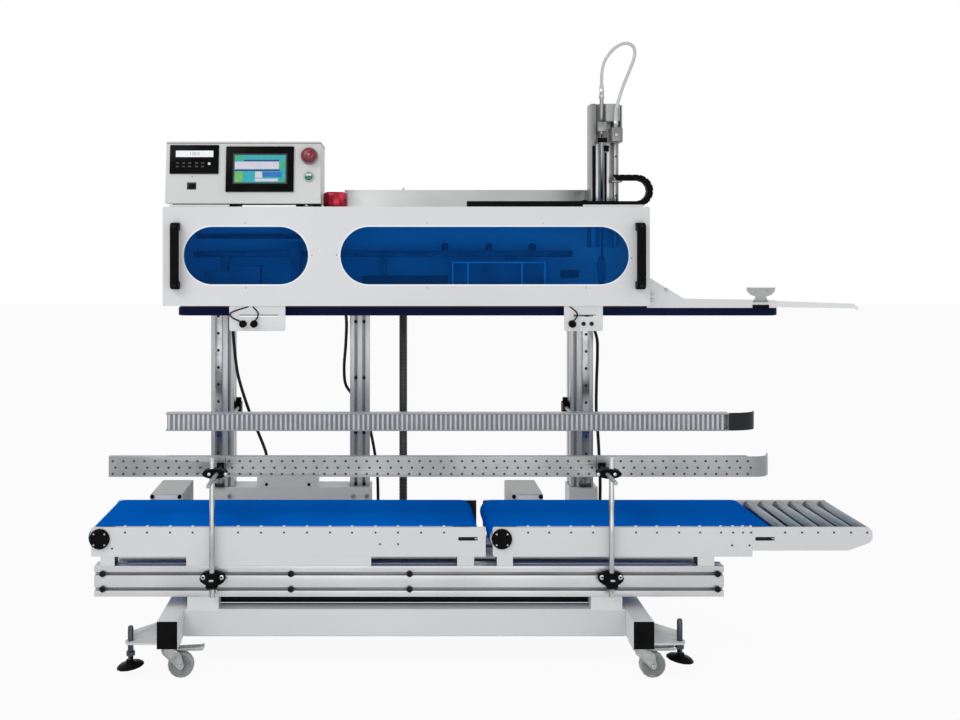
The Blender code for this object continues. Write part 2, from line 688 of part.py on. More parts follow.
def conveyor(side):
    ends = CONVEYOR_X[side]
    drums = DRUM_X[side]
    centre = drum_z()
    table_side = side == "right"
    pieces = []
    inside = SIDE_SHEET
    for y in ((0, SIDE_SHEET), (BED_WIDTH - SIDE_SHEET, BED_WIDTH)):
        sheet = prism([rounded(ends, (SIDE_BOTTOM, SIDE_TOP), 0.006, (0, 3), 3)], y, "Y")
        holes = []
        for number, x in enumerate(drums):
            if number == 1 and table_side:
                continue
            if number == 0:
                holes.append(cylinder(bore_radius(SHAFT_RADIUS, 12), (y[0] - 0.02, y[1] + 0.02),
                                      (x, centre), "Y", 12))
            else:
                slot = rounded((x - TENSION_SLOT[0] / 2, x + TENSION_SLOT[0] / 2),
                               (centre - TENSION_SLOT[1] / 2, centre + TENSION_SLOT[1] / 2), 0.003, steps=2)
                holes.append(prism([slot], (y[0] - 0.02, y[1] + 0.02), "Y"))
        pieces.append(cut(sheet, *holes))
    bed_top = BELT_TOP - BELT_THICK - GAP * 2
    bed = (drums[0] + DRUM_RADIUS + 0.010, drums[1] - DRUM_RADIUS - 0.010)
    across = (inside - 0.001, BED_WIDTH - inside + 0.001)
    pieces.append(block(bed, across, (bed_top - 0.004, bed_top)))
    for share in (0.08, 0.5, 0.92):
        x = bed[0] + share * (bed[1] - bed[0])
        pieces.append(block((x - 0.015, x + 0.015), across, (centre - 0.018, bed_top - 0.002)))
    foot = (rail_top() + GAP, SIDE_BOTTOM + 0.001)
    for x in FOOT_X[side]:
        pieces.append(block(x, (0.001, RAIL_DEPTH), foot))
        pieces.append(block(x, (BED_WIDTH - RAIL_DEPTH, BED_WIDTH - 0.001), foot))
    if side == "left":
        for y in ((0.001, 0.007), (BED_WIDTH - 0.007, BED_WIDTH - 0.001)):
            pieces.append(block(SKIRT_X, y, foot))
    recess = bore_radius(SHAFT_RADIUS, 10)
    cap = ((0, CAP_PROUD), (CAP_RADIUS - 0.002, CAP_PROUD), (CAP_RADIUS, CAP_PROUD - 0.003),
           (CAP_RADIUS, -0.001), (recess, -0.001), (recess, GAP), (0, GAP))
    pieces.append(turned(cap, (drums[0], 0, centre), "Y", 16))
    back = turned(cap, (0, 0, 0), "Y", 10)
    moved(back, Matrix.Translation((drums[0], BED_WIDTH, centre)) @ Matrix.Rotation(pi, 4, "Z"))
    pieces.append(back)
    motor = block(MOTOR_X[side], (BED_WIDTH - 0.001, MOTOR_BACK), (SIDE_BOTTOM, MOTOR_TOP), 0.003)
    pieces.append(motor)
    finish("conveyor_frame_" + side, fuse(*pieces), white_paint)

    outer = racetrack(*drums, centre, DRUM_RADIUS + GAP + BELT_THICK, DRUM_STEPS // 2)
    inner = racetrack(*drums, centre, DRUM_RADIUS + GAP, DRUM_STEPS // 2)
    width = (SIDE_SHEET + BELT_EDGE_GAP, BED_WIDTH - SIDE_SHEET - BELT_EDGE_GAP)
    finish("conveyor_belt_" + side, prism([outer, inner], width, "Y"), blue_belt)

    half = BED_WIDTH / 2
    face = half - SIDE_SHEET - BELT_EDGE_GAP
    wide = drum_face()
    for name, x, radius in (("drive", drums[0], SHAFT_RADIUS), ("idler", drums[1], TENSION_SLOT[1] / 2 - GAP)):
        end = half - GAP if name == "drive" else half - 0.001
        profile = ((0, end), (radius, end), (radius, face), (wide, face),
                   (wide, -face), (radius, -face), (radius, -end), (0, -end))
        drum = turned(profile, (x, half, centre), "Y", DRUM_STEPS)
        finish(f"{name}_drum_{side}", drum, steel, (x, half, centre))


def roller_table():
    start = CONVEYOR_X["right"][1] + GAP
    centre = drum_z()
    run, rise = TABLE_CHAMFER
    top = SIDE_TOP
    outline = [(start, TABLE_BOTTOM), (TABLE_END - run, TABLE_BOTTOM),
               (TABLE_END - 0.010, TABLE_BOTTOM + rise - 0.004), (TABLE_END, TABLE_BOTTOM + rise + 0.008),
               (TABLE_END, top - 0.012), (TABLE_END - 0.010, top), (start, top)]
    pieces = []
    places = [ROLLER_FIRST + ROLLER_PITCH * number for number in range(ROLLER_COUNT)]
    for y in ((0, SIDE_SHEET), (BED_WIDTH - SIDE_SHEET, BED_WIDTH)):
        sheet = prism([outline], y, "Y")
        x = DRUM_X["right"][1]
        slot = rounded((x - TENSION_SLOT[0] / 2, x + TENSION_SLOT[0] / 2),
                       (centre - TENSION_SLOT[1] / 2, centre + TENSION_SLOT[1] / 2), 0.003, steps=2)
        holes = [prism([slot], (y[0] - 0.02, y[1] + 0.02), "Y")]
        for place in places:
            reach = (y[0] + 0.003, y[1] + 0.02) if y[0] == 0 else (y[0] - 0.02, y[1] - 0.003)
            holes.append(cylinder(bore_radius(ROLLER_SHAFT, 6), reach, (place, ROLLER_Z), "Y", 6))
        pieces.append(cut(sheet, *holes))
    across = (SIDE_SHEET - 0.001, BED_WIDTH - SIDE_SHEET + 0.001)
    for x in (places[1], places[-2]):
        pieces.append(block((x - 0.012, x + 0.012), across, (TABLE_BOTTOM + 0.002, TABLE_BOTTOM + 0.014)))
    finish("roller_table_frame", fuse(*pieces), white_paint)
    half = BED_WIDTH / 2
    face = half - SIDE_SHEET - 0.003
    end = half - 0.0035
    profile = ((0, end), (ROLLER_SHAFT, end), (ROLLER_SHAFT, face), (ROLLER_RADIUS, face),
               (ROLLER_RADIUS, -face), (ROLLER_SHAFT, -face), (ROLLER_SHAFT, -end), (0, -end))
    for number, place in enumerate(places, 1):
        roller = turned(profile, (place, half, ROLLER_Z), "Y", 12)
        finish(f"table_roller_{number}", roller, steel, (place, half, ROLLER_Z))


def oval(x, z, reach, height, steps=14):
    return [(x + reach * cos(2 * pi * k / steps), z + height * sin(2 * pi * k / steps)) for k in range(steps)]


def guide_posts():
    for name, x in zip(("left", "right"), POST_X):
        post = turned(((0, POST_TOP), (POST_RADIUS - 0.001, POST_TOP), (POST_RADIUS, POST_TOP - 0.002),
                       (POST_RADIUS, POST_BOTTOM), (0, POST_BOTTOM)), (x, POST_Y, 0), "Z", 12)
        plate = prism([oval(x, CLAMP_Z, 0.038, 0.022)], (POST_Y + 0.005, -GAP), "Y")
        boss = block((x - 0.017, x + 0.017), (POST_Y - 0.017, -0.006), (CLAMP_Z - 0.026, CLAMP_Z + 0.018), 0.005)
        finish("guide_post_" + name, fuse(post, plate, boss), steel)


def front_guide():
    low, high = GUIDE_Z
    sheet = GUIDE_SHEET
    back = GUIDE_Y + GUIDE_LIP
    channel = [(GUIDE_Y, low), (back, low), (back, low + sheet), (GUIDE_Y + sheet, low + sheet),
               (GUIDE_Y + sheet, high - sheet), (back, high - sheet), (back, high), (GUIDE_Y, high)]
    bend = GUIDE_X[1] - GUIDE_CURL
    pieces = [prism([channel], (GUIDE_X[0], bend - 0.020), "X")]
    outside, inside = [], []
    steps = 8
    for step in range(steps + 1):
        angle = 0.5 * pi * step / steps
        outside.append((bend + GUIDE_CURL * sin(angle), GUIDE_Y + GUIDE_CURL * (1 - cos(angle))))
        inner = GUIDE_CURL - sheet
        inside.append((bend + inner * sin(angle), GUIDE_Y + sheet + inner * (1 - cos(angle))))
    curl = [(bend - 0.030, GUIDE_Y)] + outside + inside[::-1] + [(bend - 0.030, GUIDE_Y + sheet)]
    pieces.append(prism([curl], (low, high), "Z"))
    for x, front, side in zip(POST_X, ROD_FRONT, (1, -1)):
        rod_x = x + side * ROD_OFFSET
        pieces.append(cylinder(ROD_RADIUS, (front, GUIDE_Y + 0.001), (rod_x, ROD_Z), "Y", 8))
        pieces.append(block((rod_x - 0.011, rod_x + 0.011), (GUIDE_Y - 0.008, GUIDE_Y + 0.001),
                            (ROD_Z - 0.016, ROD_Z + 0.016)))
        clamp = prism([oval(x + side * 0.009, ROD_Z, 0.036, 0.014)], (POST_Y - 0.016, POST_Y + 0.016), "Y")
        bore = cylinder(POST_RADIUS + GAP, (ROD_Z - 0.03, ROD_Z + 0.03), (x, POST_Y), "Z", 12)
        pieces.append(cut(clamp, bore))
    finish("front_guide_rail", fuse(*pieces), perforated_steel, (GUIDE_X[0], GUIDE_Y, low))


def rear_guide():
    low, high = SLAT_Z
    back = SLAT_Y + 0.030
    sheet = 0.003
    lip = SLAT_LIP
    front = SLAT_Y - 0.001
    channel = [(front, low), (back, low), (back, high), (front, high), (front, high - lip),
               (back - sheet, high - lip), (back - sheet, low + lip), (front, low + lip)]
    pieces = [prism([channel], (SLAT_X[0], SLAT_END), "X")]
    count = int((SLAT_END - SLAT_X[0] - 0.006) / SLAT_PITCH)
    first = SLAT_X[0] + 0.003
    scallops = [(first, back - 0.001)]
    for number in range(count):
        centre = first + SLAT_PITCH * (number + 0.5)
        for along, depth in ((-0.5, 0.0055), (-0.22, 0.0), (0.22, 0.0)):
            scallops.append((centre + along * SLAT_PITCH, SLAT_Y + depth))
    scallops.append((first + SLAT_PITCH * count, back - 0.001))
    pieces.append(prism([scallops[::-1]], (low + lip - 0.001, high - lip + 0.001), "Z"))
    curl = SLAT_X[1] - SLAT_END
    outside, inside = [], []
    for step in range(9):
        angle = 0.5 * pi * step / 8
        outside.append((SLAT_END + curl * sin(angle), SLAT_Y + 0.004 + 0.045 * (1 - cos(angle))))
        inside.append((SLAT_END + (curl - sheet) * sin(angle), SLAT_Y + 0.004 + sheet + 0.045 * (1 - cos(angle))))
    plate = [(SLAT_END - 0.002, SLAT_Y + 0.004)] + outside + inside[::-1] + [(SLAT_END - 0.002, back - 0.001)]
    pieces.append(prism([plate], (low, high), "Z"))
    for x, side in ((COLUMN_X[0] + COLUMN_WIDTH / 2, 1), (COLUMN_X[1] - COLUMN_WIDTH / 2, -1)):
        near, far = x + side * GAP, x + side * 0.024
        rod_x = x + side * 0.013
        pieces.append(cylinder(ROD_RADIUS, (back - 0.001, COLUMN_Y + 0.030), (rod_x, REAR_ROD_Z), "Y", 8))
        pieces.append(block((min(near, far), max(near, far)), (COLUMN_Y + 0.012, COLUMN_Y + 0.056),
                            (REAR_ROD_Z - 0.018, REAR_ROD_Z + 0.018)))
        pieces.append(cylinder(0.010, (REAR_ROD_Z + 0.010, REAR_ROD_Z + 0.034), (rod_x, COLUMN_Y + 0.034), "Z", 8))
    finish("rear_guide_rail", fuse(*pieces), roller_grey, (SLAT_X[0], SLAT_Y, low))


def columns():
    bottom = PEDESTAL_TOP + GAP
    half = COLUMN_WIDTH / 2
    for name, x, side in (("left", COLUMN_X[0], -1), ("right", COLUMN_X[1], 1)):
        middle = COLUMN_Y + half
        loop = slotted((x - half, x + half), (COLUMN_Y, COLUMN_Y + COLUMN_WIDTH),
                       (x - side * 0.024,), (middle,), (x,), (middle,))
        post = prism([loop], (bottom, COLUMN_TOP), "Z")
        rail_x = x + side * LINEAR_OFFSET
        wide = LINEAR_WIDTH / 2
        front = COLUMN_Y - LINEAR_DEPTH
        strip = [(rail_x - wide, front), (rail_x + wide, front), (rail_x + wide, front + 0.004),
                 (rail_x + wide - 0.003, front + 0.007), (rail_x + wide, COLUMN_Y + 0.001),
                 (rail_x - wide, COLUMN_Y + 0.001), (rail_x - wide + 0.003, front + 0.007),
                 (rail_x - wide, front + 0.004)]
        linear = prism([strip], (LINEAR_BOTTOM, COLUMN_TOP - 0.004), "Z")
        finish("column_" + name, fuse(post, linear), anodised)
    half = MIDDLE_WIDTH / 2
    near = COLUMN_Y + COLUMN_WIDTH - MIDDLE_WIDTH
    loop = slotted((MIDDLE_X - half, MIDDLE_X + half), (near, near + MIDDLE_WIDTH),
                   (MIDDLE_X - 0.014, MIDDLE_X + 0.014), (near + half,), (MIDDLE_X,), (near + half,))
    finish("column_middle", prism([loop], (bottom, COLUMN_TOP - 0.060), "Z"), anodised)
    foot = leg_top() + GAP
    screw = turned(((0, COLUMN_TOP), (SCREW_RADIUS - 0.002, COLUMN_TOP), (SCREW_RADIUS, COLUMN_TOP - 0.003),
                    (SCREW_RADIUS, foot + 0.030), (0.022, foot + 0.030), (0.022, foot + 0.012),
                    (0.029, foot + 0.012), (0.029, foot), (0, foot)), (SCREW_X, SCREW_Y + 0.012, 0), "Z", 14)
    finish("lift_screw", screw, dark_steel)


def head_housing():
    sheet = HEAD_SHEET
    front = COVER_Y + COVER_SHEET + GAP
    shell = block(HEAD_X, (front, HEAD_BACK), HEAD_Z, 0.002)
    hollow = block((HEAD_X[0] + sheet, HEAD_X[1] - sheet), (front - 0.01, HEAD_BACK - sheet),
                   (HEAD_Z[0] + sheet, HEAD_Z[1] - sheet))
    slot = block((COLUMN_BODY_X[0] - STROKE - 0.004, COLUMN_BODY_X[1] + 0.004),
                 (NOZZLE_Y - 0.016, COLUMN_BODY_Y[1] + 0.004), (HEAD_Z[1] - 0.01, HEAD_Z[1] + 0.01))
    knob_bore = cylinder(0.0065, (HEAD_Z[1] - 0.02, HEAD_Z[1] + 0.02), KNOB_AT, "Z", 12)
    shell = cut(shell, hollow, slot, knob_bore)
    pieces = [shell]
    for x, side in ((COLUMN_X[0], -1), (COLUMN_X[1], 1)):
        rail_x = x + side * LINEAR_OFFSET
        arm = (rail_x - ARM_WIDTH / 2, rail_x + ARM_WIDTH / 2)
        end = COLUMN_Y - 0.002
        beam = block(arm, (HEAD_BACK - 0.001, end), ARM_Z)
        wide = LINEAR_WIDTH / 2 + 0.0006
        groove = block((rail_x - wide, rail_x + wide), (COLUMN_Y - LINEAR_DEPTH - 0.0006, end + 0.01),
                       (ARM_Z[0] - 0.01, ARM_Z[1] + 0.01))
        window = block((arm[0] - 0.01, arm[1] + 0.01), (HEAD_BACK + 0.050, CARRIAGE_FRONT - 0.030),
                       (ARM_Z[0] + 0.095, ARM_Z[1] - 0.030))
        pieces.append(cut(beam, groove, window))
    tie_x = (COLUMN_X[0] - LINEAR_OFFSET, COLUMN_X[1] + LINEAR_OFFSET)
    pieces.append(block(tie_x, (CARRIAGE_FRONT - 0.040, CARRIAGE_FRONT), TIE_Z))
    nut = block((SCREW_X - 0.030, SCREW_X + 0.030), (CARRIAGE_FRONT - 0.001, SCREW_Y + 0.044), TIE_Z)
    bore = cylinder(SCREW_RADIUS + 0.0006, (TIE_Z[0] - 0.01, TIE_Z[1] + 0.01), (SCREW_X, SCREW_Y + 0.012), "Z", 14)
    pieces.append(cut(nut, bore))
    pieces.append(block(GUIDE_BEAM_X, GUIDE_BEAM_Y, (HEAD_Z[1] - 0.001, GUIDE_BEAM_TOP)))
    low = GRIP_Z[0] - 0.001
    for near, far in (GRIP_Y[:2], GRIP_Y[2:]):
        inset = GRIP_THICK + TRACK_CLEARANCE
        track = rounded((GRIP_X[0] + inset, HEAD_X[1] - 0.001), (near + inset, far - inset),
                        (far - near) / 2 - inset - 0.0002, (0, 3), 4)
        pieces.append(prism([track], (low, HEAD_Z[0] + 0.001), "Z"))
    for x, knobs in (((-0.461, -0.293), (-0.419, -0.386)), ((0.543, 0.659), (0.566,))):
        plate = prism([rounded(x, (0.987, HEAD_Z[0] + 0.001), 0.006, (0, 1), 3),
                       rounded((x[0] + 0.028, x[1] - 0.020), (1.030, 1.036), 0.0025, steps=2)],
                      (front + 0.001, front + 0.004), "Y")
        pieces.append(plate)
        for knob in knobs:
            pieces.append(cylinder(0.011, (front - 0.016, front + 0.002), (knob, 1.009), "Y", 10))
    for end in (CABLE_LEFT[0], CABLE_MIDDLE[0], CABLE_RIGHT[0]):
        pieces.append(cylinder(0.009, (HEAD_BACK - 0.001, end[1] - GAP), (end[0], end[2]), "Y", 8))
    finish("head_housing", fuse(*pieces), white_paint)


def front_cover():
    edge = (HEAD_X[0], HEAD_X[1])
    loops = [rounded(edge, (HEAD_Z[0] + 0.0005, HEAD_Z[1] + 0.001), 0.004, steps=2)]
    radius = (WINDOW_Z[1] - WINDOW_Z[0]) / 2
    middle = (WINDOW_Z[1] + WINDOW_Z[0]) / 2
    for x in WINDOW_X:
        loops.append(racetrack(x[0] + radius, x[1] - radius, middle, radius, 14))
    plate = prism(loops, (COVER_Y, COVER_Y + COVER_SHEET), "Y")
    hinge_y = COVER_Y + COVER_SHEET / 2
    barrels = [cylinder(HINGE_RADIUS, x, (hinge_y, HINGE_Z), "X", 8)
               for x in ((HEAD_X[0] + 0.020, HEAD_X[0] + 0.200), (HEAD_X[1] - 0.200, HEAD_X[1] - 0.020))]
    pivot = (HEAD_X[0], hinge_y, HINGE_Z)
    finish("front_cover", fuse(plate, *barrels), white_paint, pivot)
    margin = 0.014
    glass_y = COVER_Y + COVER_SHEET + GAP
    glass = rounded((WINDOW_X[0][0] - margin, WINDOW_X[1][1] + margin),
                    (WINDOW_Z[0] - margin, WINDOW_Z[1] + margin), 0.010, steps=2)
    finish("cover_window", prism([glass], (glass_y, glass_y + 0.003), "Y"), blue_glass, pivot)
    for name, x in zip(("left", "right"), HANDLE_X):
        near = COVER_Y - GAP
        far = near - HANDLE_REACH
        low, high = HANDLE_Z[0] + HANDLE_RADIUS, HANDLE_Z[1] - HANDLE_RADIUS
        route = [(near, low), (far + 0.012, low), (far + 0.004, low + 0.003), (far, low + 0.012),
                 (far, high - 0.012), (far + 0.004, high - 0.003), (far + 0.012, high), (near, high)]
        curve = bpy.data.curves.new("handle", "CURVE")
        curve.dimensions = "3D"
        curve.bevel_depth = HANDLE_RADIUS
        curve.bevel_resolution = 2
        curve.use_fill_caps = True
        spline = curve.splines.new("POLY")
        spline.points.add(len(route) - 1)
        for point, (y, z) in zip(spline.points, route):
            point.co = (x, y, z, 1)
        finish("cover_handle_" + name, tidy(bake(scratch(curve)), 1e-5), black_plastic, pivot)


def panel_frame(x, z):
    """A frame on the sloping face of the control box: X along it, Y up it and Z out of it."""
    lean = atan2(BOX_LEAN, BOX_Z[1] - BOX_Z[0])
    y = BOX_FRONT + BOX_LEAN * (z - BOX_Z[0]) / (BOX_Z[1] - BOX_Z[0])
    return Matrix.Translation((x, y, z)) @ Matrix.Rotation(pi / 2 - lean, 4, "X")


def on_panel(obj, place):
    return moved(obj, panel_frame(*place))


def middle_of(x, z):
    return ((x[0] + x[1]) / 2, (z[0] + z[1]) / 2)


def control_box():
    outline = [(BOX_FRONT, BOX_Z[0]), (BOX_BACK, BOX_Z[0]), (BOX_BACK, BOX_Z[1]),
               (BOX_FRONT + BOX_LEAN, BOX_Z[1])]
    box = bevel(prism([outline], BOX_X, "X"), 0.002)
    meter_size = (METER_X[1] - METER_X[0], METER_Z[1] - METER_Z[0])
    meter = block((-meter_size[0] / 2, meter_size[0] / 2), (-meter_size[1] / 2, meter_size[1] / 2),
                  (-0.002, 0.004), 0.001)
    pieces = [box, on_panel(meter, middle_of(METER_X, METER_Z))]
    bezel = turned(((0.0118, 0.004), (0.0155, 0.004), (0.0165, -0.001), (0.0118, -0.001), (0.0118, 0.004)),
                   (0, 0, 0), "Z", 16)
    pieces.append(on_panel(bezel, START_AT))
    for x in (BOX_X[0] + 0.030, BOX_X[1] - 0.030):
        for y in (BOX_FRONT + 0.020, BOX_BACK - 0.030):
            pieces.append(cylinder(0.010, (HEAD_Z[1] + GAP, BOX_Z[0] + 0.001), (x, y), "Z", 8))
    box = fuse(*pieces)
    stop_bore = on_panel(cylinder(0.0090, (-0.030, 0.010), (0, 0), "Z", 16), STOP_AT)
    start_bore = on_panel(cylinder(0.0116, (-0.014, 0.010), (0, 0), "Z", 16), START_AT)
    switch_hole = on_panel(block((-0.0105, 0.0105), (-0.0075, 0.0075), (-0.012, 0.010)), SWITCH_AT)
    finish("control_box", cut(box, stop_bore, start_bore, switch_hole), pale_paint)

    size = (SCREEN_X[1] - SCREEN_X[0], SCREEN_Z[1] - SCREEN_Z[0])
    screen = block((-size[0] / 2, size[0] / 2), (-size[1] / 2, size[1] / 2), (GAP, 0.006), 0.0015)
    place = middle_of(SCREEN_X, SCREEN_Z)
    finish("touch_screen", on_panel(screen, place), black_gloss)
    stop = turned(((0, 0.030), (0.012, 0.029), (0.0205, 0.025), (0.0235, 0.019), (0.0235, 0.014),
                   (0.018, 0.010), (0.0085, 0.010), (0.0085, -0.022), (0, -0.022)), (0, 0, 0), "Z", 16)
    finish("emergency_stop", on_panel(stop, STOP_AT), red_plastic, panel_frame(*STOP_AT).translation)
    start = turned(((0, 0.008), (0.009, 0.0075), (0.0112, 0.006), (0.0112, -0.008), (0, -0.008)),
                   (0, 0, 0), "Z", 16)
    finish("start_button", on_panel(start, START_AT), green_plastic, panel_frame(*START_AT).translation)
    rocker = prism([[(-0.0070, 0.0045), (0, 0.0015), (0.0070, 0.0015), (0.0060, -0.006), (-0.0060, -0.006)]],
                   (-0.0098, 0.0098), "X")
    finish("power_switch", on_panel(rocker, SWITCH_AT), black_plastic, panel_frame(*SWITCH_AT).translation)

    lobes = 15
    loop = []
    for step in range(lobes * 2):
        radius = KNOB_RADIUS - (0.0022 if step % 2 else 0)
        angle = pi * step / lobes
        loop.append((KNOB_AT[0] + radius * cos(angle), KNOB_AT[1] + radius * sin(angle)))
    base = HEAD_Z[1] + 0.003
    grip = prism([loop], (base, base + KNOB_HEIGHT - 0.004), "Z")
    crown = turned(((0, base + KNOB_HEIGHT), (KNOB_RADIUS * 0.8, base + KNOB_HEIGHT),
                    (KNOB_RADIUS - 0.003, base + KNOB_HEIGHT - 0.006), (0, base + KNOB_HEIGHT - 0.006)),
                   (*KNOB_AT, 0), "Z", 15)
    stem = cylinder(0.0060, (HEAD_Z[1] - 0.060, base + 0.001), KNOB_AT, "Z", 12)
    finish("pressure_knob", fuse(grip, crown, stem), red_knob, (*KNOB_AT, base))


def seal_unit():
    deck = HEAD_Z[0] + HEAD_SHEET + GAP
    pieces = [
        block((-0.560, 0.440), (0.150, 0.230), (deck, deck + 0.014)),
        block((0.211, 0.500), (0.140, 0.225), (deck + 0.001, 1.192)),
        block((-0.600, 0.600), (0.236, 0.262), (1.204, 1.224)),
        block((-0.465, -0.379), (0.140, 0.210), (deck + 0.010, 1.180)),
        block((-0.550, -0.464), (0.150, 0.200), (deck + 0.010, 1.162)),
        block((-0.285, -0.255), (0.150, 0.245), (deck + 0.010, 1.250)),
    ]
    for x in (-0.500, 0.000, 0.400):
        pieces.append(block((x - 0.012, x + 0.012), (0.222, 0.250), (deck + 0.001, 1.210)))
    for x in (0.196, 0.336, 0.474):
        pieces.append(turned(((0, 1.250), (0.009, 1.247), (0.012, 1.240), (0.012, 1.220), (0, 1.220)),
                             (x, 0.249, 0), "Z", 8))
    finish("seal_unit", fuse(*pieces), dark_steel)


def nozzle():
    low, high = COLUMN_BODY_Z
    x = COLUMN_BODY_X
    y = COLUMN_BODY_Y
    loop = slotted(x, y, (x[0] + 0.020, x[1] - 0.020), (), (), ())
    body = prism([loop], (low, high), "Z")
    ride = block((x[0] + 0.004, x[1] - 0.004), (y[1] - 0.001, GUIDE_BEAM_Y[0] - GAP),
                 (HEAD_Z[1] + 0.006, GUIDE_BEAM_TOP - 0.002))
    head = block((0.690, 0.7235), (0.078, y[0] + 0.001), HOSE_HEAD_Z, 0.003)
    pieces = [body, ride, head]
    pieces.append(cylinder(0.008, (HOSE_HEAD_Z[1] - 0.001, HOSE_POINTS[-1][2] - GAP), HOSE_POINTS[-1][:2], "Z", 8))
    for z in GUIDE_BLOCKS:
        guide = block((NOZZLE_X - 0.013, NOZZLE_X + 0.013), (NOZZLE_Y - 0.013, y[0] + 0.001), z)
        bore = cylinder(NOZZLE_RADIUS + GAP, (z[0] - 0.01, z[1] + 0.01), (NOZZLE_X, NOZZLE_Y), "Z", 12)
        pieces.append(cut(guide, bore))
    top = chain_top()
    pieces.append(block((x[1] - 0.030, x[1] + 0.002), (CHAIN_Y[0] + 0.001, y[0] + 0.001),
                        (top - CHAIN_THICK - 0.005, top - CHAIN_THICK - GAP)))
    finish("nozzle_column", fuse(*pieces), anodised, (x[0], y[0], HEAD_Z[1]))
    blade = prism([[(NOZZLE_X - 0.008, NOZZLE_Z[0]), (NOZZLE_X + 0.008, NOZZLE_Z[0]),
                    (NOZZLE_X + 0.015, NOZZLE_Z[0] + 0.070), (NOZZLE_X + 0.006, NOZZLE_Z[0] + 0.092),
                    (NOZZLE_X - 0.006, NOZZLE_Z[0] + 0.092), (NOZZLE_X - 0.015, NOZZLE_Z[0] + 0.070)]],
                  (NOZZLE_Y - 0.004, NOZZLE_Y + 0.004), "Y")
    end = NOZZLE_Z[1] + 0.015
    tube = turned(((0, end), (NOZZLE_RADIUS, end), (0.0085, end - 0.004), (0.0085, end - 0.014),
                   (NOZZLE_RADIUS, end - 0.016), (NOZZLE_RADIUS, NOZZLE_Z[0] + 0.080), (0, NOZZLE_Z[0] + 0.080)),
                  (NOZZLE_X, NOZZLE_Y, 0), "Z", 12)
    finish("nozzle", fuse(tube, blade), steel, (NOZZLE_X, NOZZLE_Y, NOZZLE_Z[0]))


def chain_top():
    return HEAD_Z[1] + GAP + 2 * CHAIN_OUTER


def drag_chain():
    """Two runs and a half loop of links, drawn as one outline with a notch between links."""
    low = HEAD_Z[1] + GAP
    centre = low + CHAIN_OUTER
    middle_radius = CHAIN_OUTER - CHAIN_THICK / 2
    lower = CHAIN_LOOP_X - CHAIN_START
    bend = pi * middle_radius
    upper = CHAIN_LOOP_X - (COLUMN_BODY_X[1] - 0.028)
    total = lower + bend + upper

    def at(along, out):
        """A point along the chain's middle line, out from it towards the outside of the loop."""
        if along < lower:
            return (CHAIN_START + along, centre - middle_radius - out)
        if along < lower + bend:
            angle = -pi / 2 + (along - lower) / middle_radius
            return (CHAIN_LOOP_X + (middle_radius + out) * cos(angle), centre + (middle_radius + out) * sin(angle))
        return (CHAIN_LOOP_X - (along - lower - bend), centre + middle_radius + out)

    links = round(total / CHAIN_PITCH)
    pitch = total / links
    half = CHAIN_THICK / 2
    outer, inner = [], []
    for link in range(links):
        start = link * pitch
        for share, depth in ((0.0, 0.003), (0.18, 0.0), (0.82, 0.0)):
            outer.append(at(start + share * pitch, half - depth))
        inner.append(at(start, -half))
    finish("drag_chain", prism([outer + inner[::-1]], CHAIN_Y, "Y"), black_plastic)


def gripping_belts():
    for name, (near, far) in (("front", GRIP_Y[:2]), ("rear", GRIP_Y[2:])):
        radius = (far - near) / 2
        middle = (far + near) / 2
        ends = (GRIP_X[0] + radius, GRIP_X[1] - radius)
        outer = racetrack(*ends, middle, radius, 8)
        inner = racetrack(*ends, middle, radius - GRIP_THICK, 8)
        finish("gripping_belt_" + name, prism([outer, inner], GRIP_Z, "Z"), navy_belt)


def infeed_guide():
    start = HEAD_X[1] + GAP
    low, high = INFEED_Z
    web = [(start, low), (INFEED_END, low), (INFEED_END, high - 0.004), (0.912, high),
           (start, 1.150)]
    front = INFEED_Y
    sheet = HEAD_SHEET
    pieces = [prism([web], (front, front + sheet), "Y")]
    pieces.append(block((start, INFEED_END), (front + 0.001, GRIP_Y[3] + 0.004), (low, low + sheet)))
    pieces.append(block((start, start + sheet), (front + 0.001, GRIP_Y[3] + 0.004), (low + 0.001, 1.140)))
    dish = [(1.100, 1.116), (1.102, 1.104), (1.112, 1.094), (1.128, 1.088), (1.118, 1.072),
            (1.166, 1.072), (1.158, 1.088), (1.174, 1.094), (1.184, 1.104), (1.186, 1.116)]
    pieces.append(prism([dish], (front - 0.003, front + 0.001), "Y"))
    wand = [(INFEED_END - 0.020, low + 0.002), (WAND_END - 0.012, 1.053), (WAND_END - 0.003, 1.047),
            (WAND_END, 1.054), (WAND_END - 0.014, 1.067), (INFEED_END - 0.020, high - 0.006)]
    pieces.append(prism([wand], (front + 0.002, front + 0.005), "Y"))
    for near, far in (GRIP_Y[:2], GRIP_Y[2:]):
        inset = GRIP_THICK + TRACK_CLEARANCE
        track = rounded((start, GRIP_X[1] - inset), (near + inset, far - inset),
                        (far - near) / 2 - inset - 0.0002, (1, 2), 4)
        pieces.append(prism([track], (GRIP_Z[0] - 0.001, low + 0.001), "Z"))
    finish("infeed_guide", fuse(*pieces), white_paint)


clear_scene()
machine = bpy.data.collections.new("vertical_vacuum_sealer")
bpy.context.scene.collection.children.link(machine)
root = bpy.data.objects.new("machine_root", None)
root.location = (-(LEFT_END + RIGHT_END) / 2, -(FRONT_END + BACK_END) / 2, 0)
machine.objects.link(root)

